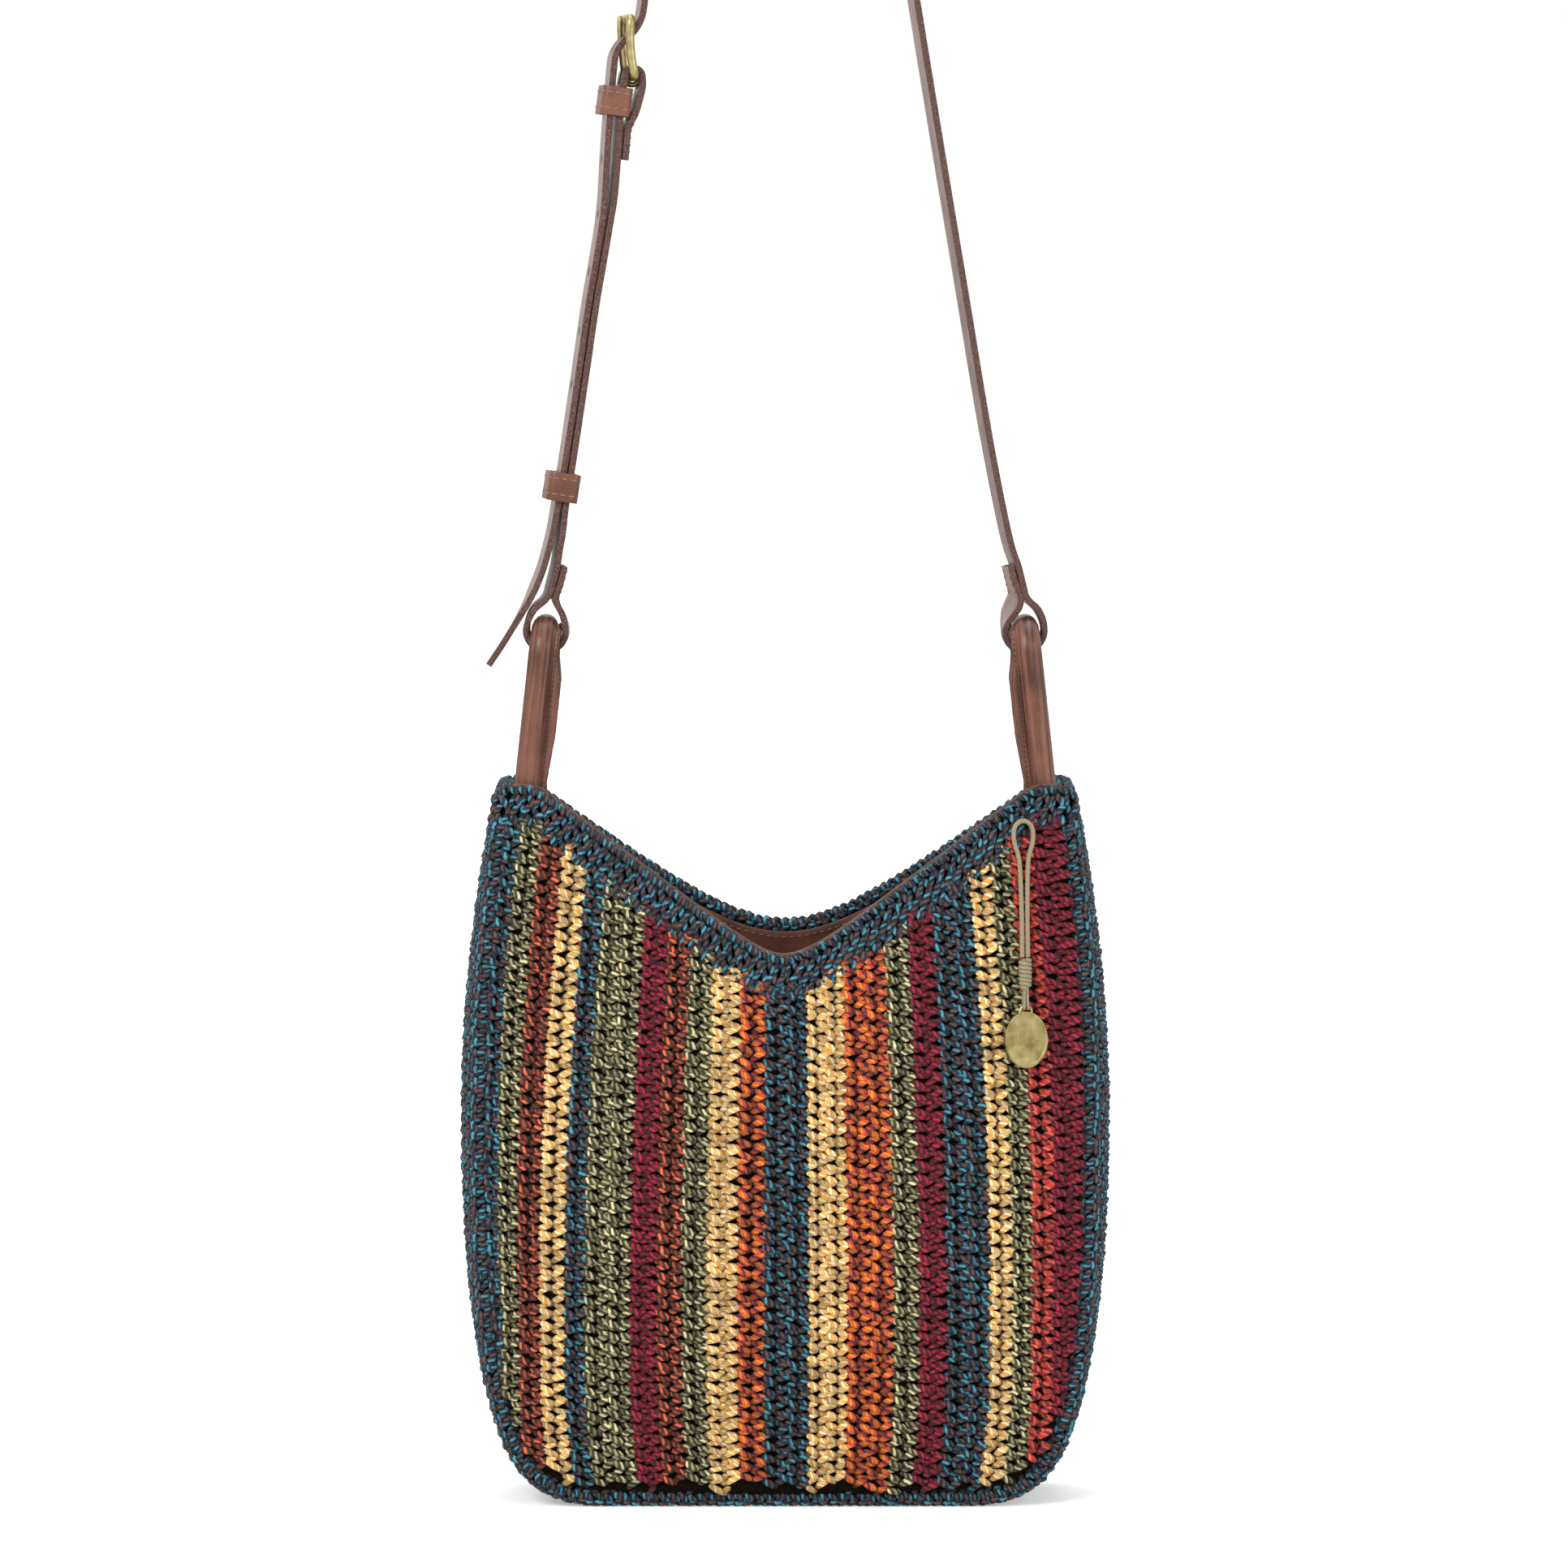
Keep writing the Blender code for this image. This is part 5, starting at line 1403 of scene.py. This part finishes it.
def make_charm_cord():
    """The doubled cord: up one strand from the wrapped knot, through a stitch and down again."""
    low = -CHARM_LENGTH
    strand = [(CHARM_STRAND, low), (CHARM_STRAND, low * 0.7), (CHARM_STRAND + 0.3 * MM, low * 0.42)]
    strand += [(x * MM, z * MM) for x, z in CHARM_EYE]
    way_up = [(-x, z) for x, z in strand]
    line = smooth_line([(x, 0, z) for x, z in way_up + [(0, 1.0 * MM)] + strand[::-1]], 8)
    line = in_charm(even(line, 1.6 * MM))
    curve = bpy.data.curves.new("charm_cord_loop", "CURVE")
    curve.dimensions = "3D"
    curve.bevel_depth = CHARM_CORD_R
    curve.bevel_resolution = 4
    curve.use_fill_caps = True
    spline = curve.splines.new("POLY")
    spline.points.add(len(line) - 1)
    spline.points.foreach_set("co", np.concatenate([line, np.ones((len(line), 1))], axis=1).ravel())
    spline.use_smooth = True
    curve.materials.append(CORD)
    cord = bpy.data.objects.new("charm_cord_loop", curve)
    bpy.context.scene.collection.objects.link(cord)
    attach(cord, "charm")
    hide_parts("charm_cord")
    return cord, line


def make_charm_knot():
    """The cord's end wound round both strands, and the doubled tail that holds the disc."""
    top = -CHARM_LENGTH - GAP
    thread = WRAP_L / WRAP_TURNS / 2
    turn = np.linspace(0, 2 * np.pi * (WRAP_TURNS - 1), 24 * (WRAP_TURNS - 1) + 1)
    share = turn / turn[-1]
    pull = 1 - 0.16 * np.exp(-((share - 1) / 0.1) ** 2) + 0.04 * np.sin(5 * share)
    radius = (WRAP_R - thread) * pull
    z = top - thread - (WRAP_L - 2 * thread) * share
    line = np.stack([radius * np.sin(turn), -0.8 * radius * np.cos(turn), z], axis=-1)
    rings, _, _ = sweep(line, (0.0, 0.0, 1.0), round_section(thread * 1.06, 10))
    coil = skin("charm_wrapping", in_charm(rings))
    dress(coil, "charm", [CORD], ("charm_wrap",))

    core = np.array([(0, 0, top - 0.5 * MM), (0, 0, top - WRAP_L / 2), (0, 0, top - WRAP_L - 0.4 * MM)])
    section = round_section(1.0, 14) * np.array([0.75, 0.62]) * (WRAP_R - thread)
    rings, _, _ = sweep(core, (1.0, 0.0, 0.0), section)
    core = skin("charm_knot_core", in_charm(rings))
    dress(core, "charm", [CORD])

    tail_top = top - WRAP_L
    bail_top = tail_top - TAIL_L - GAP - BAIL_WIRE_R
    strand = 0.52 * MM
    front = 0.3 * MM - BAIL_WIRE_R - strand - 0.06 * MM
    back = 0.3 * MM + BAIL_WIRE_R + strand + 0.06 * MM
    low = bail_top - BAIL_WIRE_R - strand - 0.05 * MM
    key = [(-0.5 * MM, tail_top + 1 * MM), (front * 0.9, tail_top - 1.2 * MM), (front, bail_top + 1.6 * MM),
           (front, bail_top), (front * 0.72, low + 0.25 * MM), (0.3 * MM, low - 0.1 * MM),
           (back * 0.76, low + 0.25 * MM), (back, bail_top), (back, bail_top + 1.6 * MM),
           (back * 0.8, tail_top - 1.2 * MM), (0.5 * MM, tail_top + 1 * MM)]
    for name, x in (("charm_tail_left", -0.63 * MM), ("charm_tail_right", 0.63 * MM)):
        line = smooth_line([(x * (1 + 0.25 * (tail_top - h) / TAIL_L), y, h) for y, h in key], 6)
        rings, _, _ = sweep(line, (1.0, 0.0, 0.0), round_section(strand, 10))
        tail = skin(name, in_charm(rings))
        dress(tail, "charm", [CORD])


def make_charm_disc():
    """A plain oval plate with a raised rim, and its bail."""
    bail_top = -CHARM_LENGTH - GAP - WRAP_L - TAIL_L - GAP - BAIL_WIRE_R
    centre = bail_top - BAIL_R * 0.9 - DISC_H / 2
    bpy.ops.mesh.primitive_cylinder_add(vertices=72, radius=1, depth=1, rotation=(math.pi / 2, 0, 0))
    disc = settle("charm_plate", (DISC_W / 2, DISC_H / 2, DISC_T), Matrix.Translation((0, 0, centre)))
    bpy.ops.object.mode_set(mode="EDIT")
    for side in (-1, 1):
        pick(disc, "FACE", lambda face: face.normal.y * side > 0.9)
        bpy.ops.mesh.inset(thickness=0.85 * MM)
        bpy.ops.mesh.inset(thickness=0.3 * MM, depth=-0.3 * MM)
    bpy.ops.object.mode_set(mode="OBJECT")
    finish_with(disc, "BEVEL", width=0.25 * MM, segments=3, limit_method="ANGLE",
                angle_limit=math.radians(35))
    disc.data.transform(charm_matrix())
    dress(disc, "disc", [DISC_BRASS], ("charm_disc",), sharp=40)

    bpy.ops.mesh.primitive_torus_add(major_segments=36, minor_segments=12, major_radius=BAIL_R,
                                     minor_radius=BAIL_WIRE_R, rotation=(math.pi / 2, 0, 0))
    bail = settle("charm_bail",
                  matrix=charm_matrix() @ Matrix.Translation((0, 0.3 * MM, bail_top - BAIL_R)))
    dress(bail, "disc", [BRASS])


def make_charm():
    cord, line = make_charm_cord()
    make_charm_knot()
    make_charm_disc()


# Inside of the bag

def opening_band(below, offset, below_back=None):
    """Points round the opening at a distance below its rim, offset outwards from the crochet."""
    if below_back is None:
        below_back = below
    points = []
    for front in (True, False):
        sign = 1 if front else -1
        here, there = (below, below_back) if front else (below_back, below)
        for u in np.linspace(-1, 1, 161):
            z = float(column_top(u, front, here))
            depth = float(half_depth(u, z, front)) + offset
            points.append((sign * float(column_x(u, z)), -sign * depth, z))
        radius = CORNER_R + offset
        for angle, share in end_steps(13):
            z = CORNER_Z - here + (here - there) * angle / math.pi
            x = float(side_x(z)) - SEAM_INSET + radius * math.sin(angle)
            y = share * (SEAM_Y - CORNER_R) - radius * math.cos(angle)
            points.append((sign * x, sign * y, z))
    return np.array(points)


def make_facing():
    """Leather band sewn inside the rim, with a rounded upper edge and a row of stitches."""
    outside = -(CROCHET / 2 + RIDGE + GAP)
    inside = outside - FACING
    middle = (outside + inside) / 2
    lower = [(FACING_H / 2, inside), (FACING_H - 0.4 * MM, inside), (FACING_H, middle),
             (FACING_H - 0.4 * MM, outside), (FACING_H / 2, outside)]
    upper = [(0.5 * MM, outside), (0.1 * MM, middle + 0.4 * MM), (0, middle),
             (0.1 * MM, middle - 0.4 * MM), (0.5 * MM, inside), (3 * MM, inside)]
    bands = [opening_band(below, offset) for below, offset in lower]
    bands += [opening_band(FACING_FRONT + below, offset, FACING_BACK + below)
              for below, offset in upper]
    rings = np.stack(bands, axis=1)
    band = skin("rim_facing", rings, closed=True)
    dress(band, "bag", [FACING_LEATHER], ("opening_facing",), sharp=50)
    line = opening_band(FACING_FRONT + FACING_SEAM, inside, FACING_BACK + FACING_SEAM)
    line = np.concatenate([line, line[:1]])
    lengths = run_lengths(line)
    count = int(lengths[-1] / FACING_PITCH)
    at = (np.arange(count) + 0.5) * lengths[-1] / count
    first = follow(at - FACING_STITCH / 2, lengths, line)
    last = follow((at + FACING_STITCH / 2) % lengths[-1], lengths, line)
    out = np.cross(unit(last - first), (0.0, 0.0, 1.0))
    out = out * np.sign((out * -follow(at, lengths, line) * np.array([1, 1, 0])).sum(axis=-1, keepdims=True))
    sew("rim_facing_stitches", first, last, unit(out), "bag", 0.3 * MM, THREAD)


def make_lining():
    """Woven inner bag, made from its solid and softened by shallow creases."""
    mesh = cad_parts["lining"].data.copy()
    mesh.name = "lining_cloth_bag"
    mesh.materials.clear()
    build = bmesh.new()
    build.from_mesh(mesh)
    bmesh.ops.remove_doubles(build, verts=build.verts, dist=0.01 * MM)
    bmesh.ops.dissolve_limit(build, angle_limit=math.radians(0.5), verts=build.verts, edges=build.edges)
    bmesh.ops.triangulate(build, faces=build.faces)
    bmesh.ops.subdivide_edges(build, edges=build.edges, cuts=2, use_grid_fill=True)
    build.normal_update()
    for vertex in build.verts:
        crease = math.sin(vertex.co.x * 190 + 2.1 * math.sin(vertex.co.z * 60)) * 0.12 * MM
        vertex.co += vertex.normal * crease
    build.to_mesh(mesh)
    build.free()
    mesh.shade_smooth()
    mesh.set_sharp_from_angle(angle=math.radians(50))
    inner = bpy.data.objects.new("lining_cloth_bag", mesh)
    bpy.context.scene.collection.objects.link(inner)
    dress(inner, "bag", [LINING], ("lining",))


# Stage, camera and lights

def set_floor():
    """A white floor that glows to plain white away from the bag, and keeps its shadow near it."""
    bpy.ops.object.select_all(action="DESELECT")
    bpy.ops.mesh.primitive_plane_add(size=30)
    floor = bpy.context.object
    floor.name = "floor"
    finish = Finish("studio_floor")
    path = finish.nodes.new("ShaderNodeLightPath")
    seen = finish.math("MAXIMUM", path.outputs["Is Camera Ray"], path.outputs["Is Transmission Ray"])
    distance = finish.add("VectorMath", {0: finish.place()}, output="Value", operation="LENGTH")
    near_to_far = finish.ranged(distance, 0.38, 1.0, 0.12, 0.75)
    finish.shade((0.92, 0.92, 0.92), 0.9,
                 {"Specular IOR Level": 0.0, "Emission Color": (1.0, 1.0, 1.0),
                  "Emission Strength": finish.math("MULTIPLY", seen, near_to_far)})
    floor.data.materials.append(finish.owner)


def set_world():
    """A white world, brighter for the camera and for reflections than as a light."""
    world = bpy.data.worlds.new("studio")
    bpy.context.scene.world = world
    sky = Nodes(world)
    path = sky.nodes.new("ShaderNodeLightPath")
    seen = sky.math("MAXIMUM", path.outputs["Is Camera Ray"], path.outputs["Is Glossy Ray"])
    background = sky.nodes["Background"]
    sky.put(background.inputs["Color"], (1.0, 1.0, 1.0))
    sky.put(background.inputs["Strength"], sky.ranged(seen, 0.55, 1.0))


def area_light(name, place, aim, size, power):
    data = bpy.data.lights.new(name, "AREA")
    data.shape = "SQUARE"
    data.size = size
    data.energy = power
    light = bpy.data.objects.new(name, data)
    light.location = place
    light.rotation_euler = (Vector(aim) - Vector(place)).to_track_quat("-Z", "Y").to_euler()
    bpy.context.scene.collection.objects.link(light)


def set_lights():
    for light in LIGHTS:
        area_light(*light)


def set_camera():
    data = bpy.data.cameras.new("camera")
    camera = bpy.data.objects.new("camera", data)
    bpy.context.scene.collection.objects.link(camera)
    scale = PHOTO_MM_PER_PIXEL * MM
    aim = Vector(((PHOTO_SIZE / 2 - PHOTO_MIDDLE_COLUMN) * scale, 0,
                  (PHOTO_BASE_ROW - PHOTO_SIZE / 2) * scale - 2.0 * MM))
    back = Vector((0, -math.cos(CAMERA_ELEVATION), math.sin(CAMERA_ELEVATION)))
    camera.location = aim + back * CAMERA_DISTANCE
    camera.rotation_euler = (-back).to_track_quat("-Z", "Y").to_euler()
    data.sensor_width = 36
    data.lens = data.sensor_width * CAMERA_DISTANCE / (PHOTO_SIZE * scale)
    data.clip_end = 60
    bpy.context.scene.camera = camera


bpy.context.scene.view_settings.view_transform = "Standard"
set_camera()

STRAP_FACE = leather_finish("strap_leather_face", (0.27, 0.18, 0.145), (0.17, 0.10, 0.078), 0.34, 900.0)
STRAP_EDGE = raw_edge_finish()
# The handle's light lengthwise streaks are partly painted highlights.
HANDLE_LEATHER = leather_finish("handle_leather_fine", (0.23, 0.085, 0.048), (0.06, 0.016, 0.008), 0.36,
                                1100.0, highlight_streaks=True)
KEEPER_LEATHER = leather_finish("keeper_leather_fine", (0.225, 0.084, 0.05), (0.135, 0.046, 0.026), 0.42)
FACING_LEATHER = leather_finish("facing_leather_fine", (0.15, 0.056, 0.034), (0.085, 0.03, 0.018), 0.45)
BRASS = brass_finish("antique_brass", (0.25, 0.20, 0.08), (0.40, 0.335, 0.15), (0.54, 0.46, 0.24), 0.15)
DISC_BRASS = brass_finish("disc_brass", (0.19, 0.15, 0.055), (0.34, 0.28, 0.115), (0.45, 0.38, 0.18), 0.2)
LINING = woven_finish()
CORD = cord_finish()
THREAD = thread_finish("tan_thread", (0.20, 0.09, 0.045), (0.46, 0.23, 0.115))
DARK_THREAD = thread_finish("dark_thread", (0.022, 0.009, 0.006), (0.075, 0.03, 0.018))
ROPE = rope_finish()
YARN_FINISHES = {name: yarn_finish(name, plies) for name, plies in YARNS.items()}
# Near-black colours for the fabric between the strands: painted shade.
PANEL_PAINTED_SHADE = painted_shade_finish("panel_painted_shade", (0.014, 0.010, 0.007))
NAVY_PAINTED_SHADE = painted_shade_finish("navy_painted_shade", (0.006, 0.009, 0.015))

make_charm()
crochet_body()
lay_shade_sheets()
make_facing()
make_lining()
make_handle("left_handle", -1)
make_handle("right_handle", 1)
make_long_strap()
make_short_strap()
make_buckle_frame()
make_prong()
make_keeper("strap_keeper_fixed", "fixed_keeper", "bag", *FIXED_KEEPER)
make_keeper("strap_keeper_loose", "sliding_keeper", "loose_keeper", *LOOSE_KEEPER)

for node in ("left_handle_core", "right_handle_core"):
    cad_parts[node].data.materials[0] = ROPE
set_floor()
set_world()
set_lights()
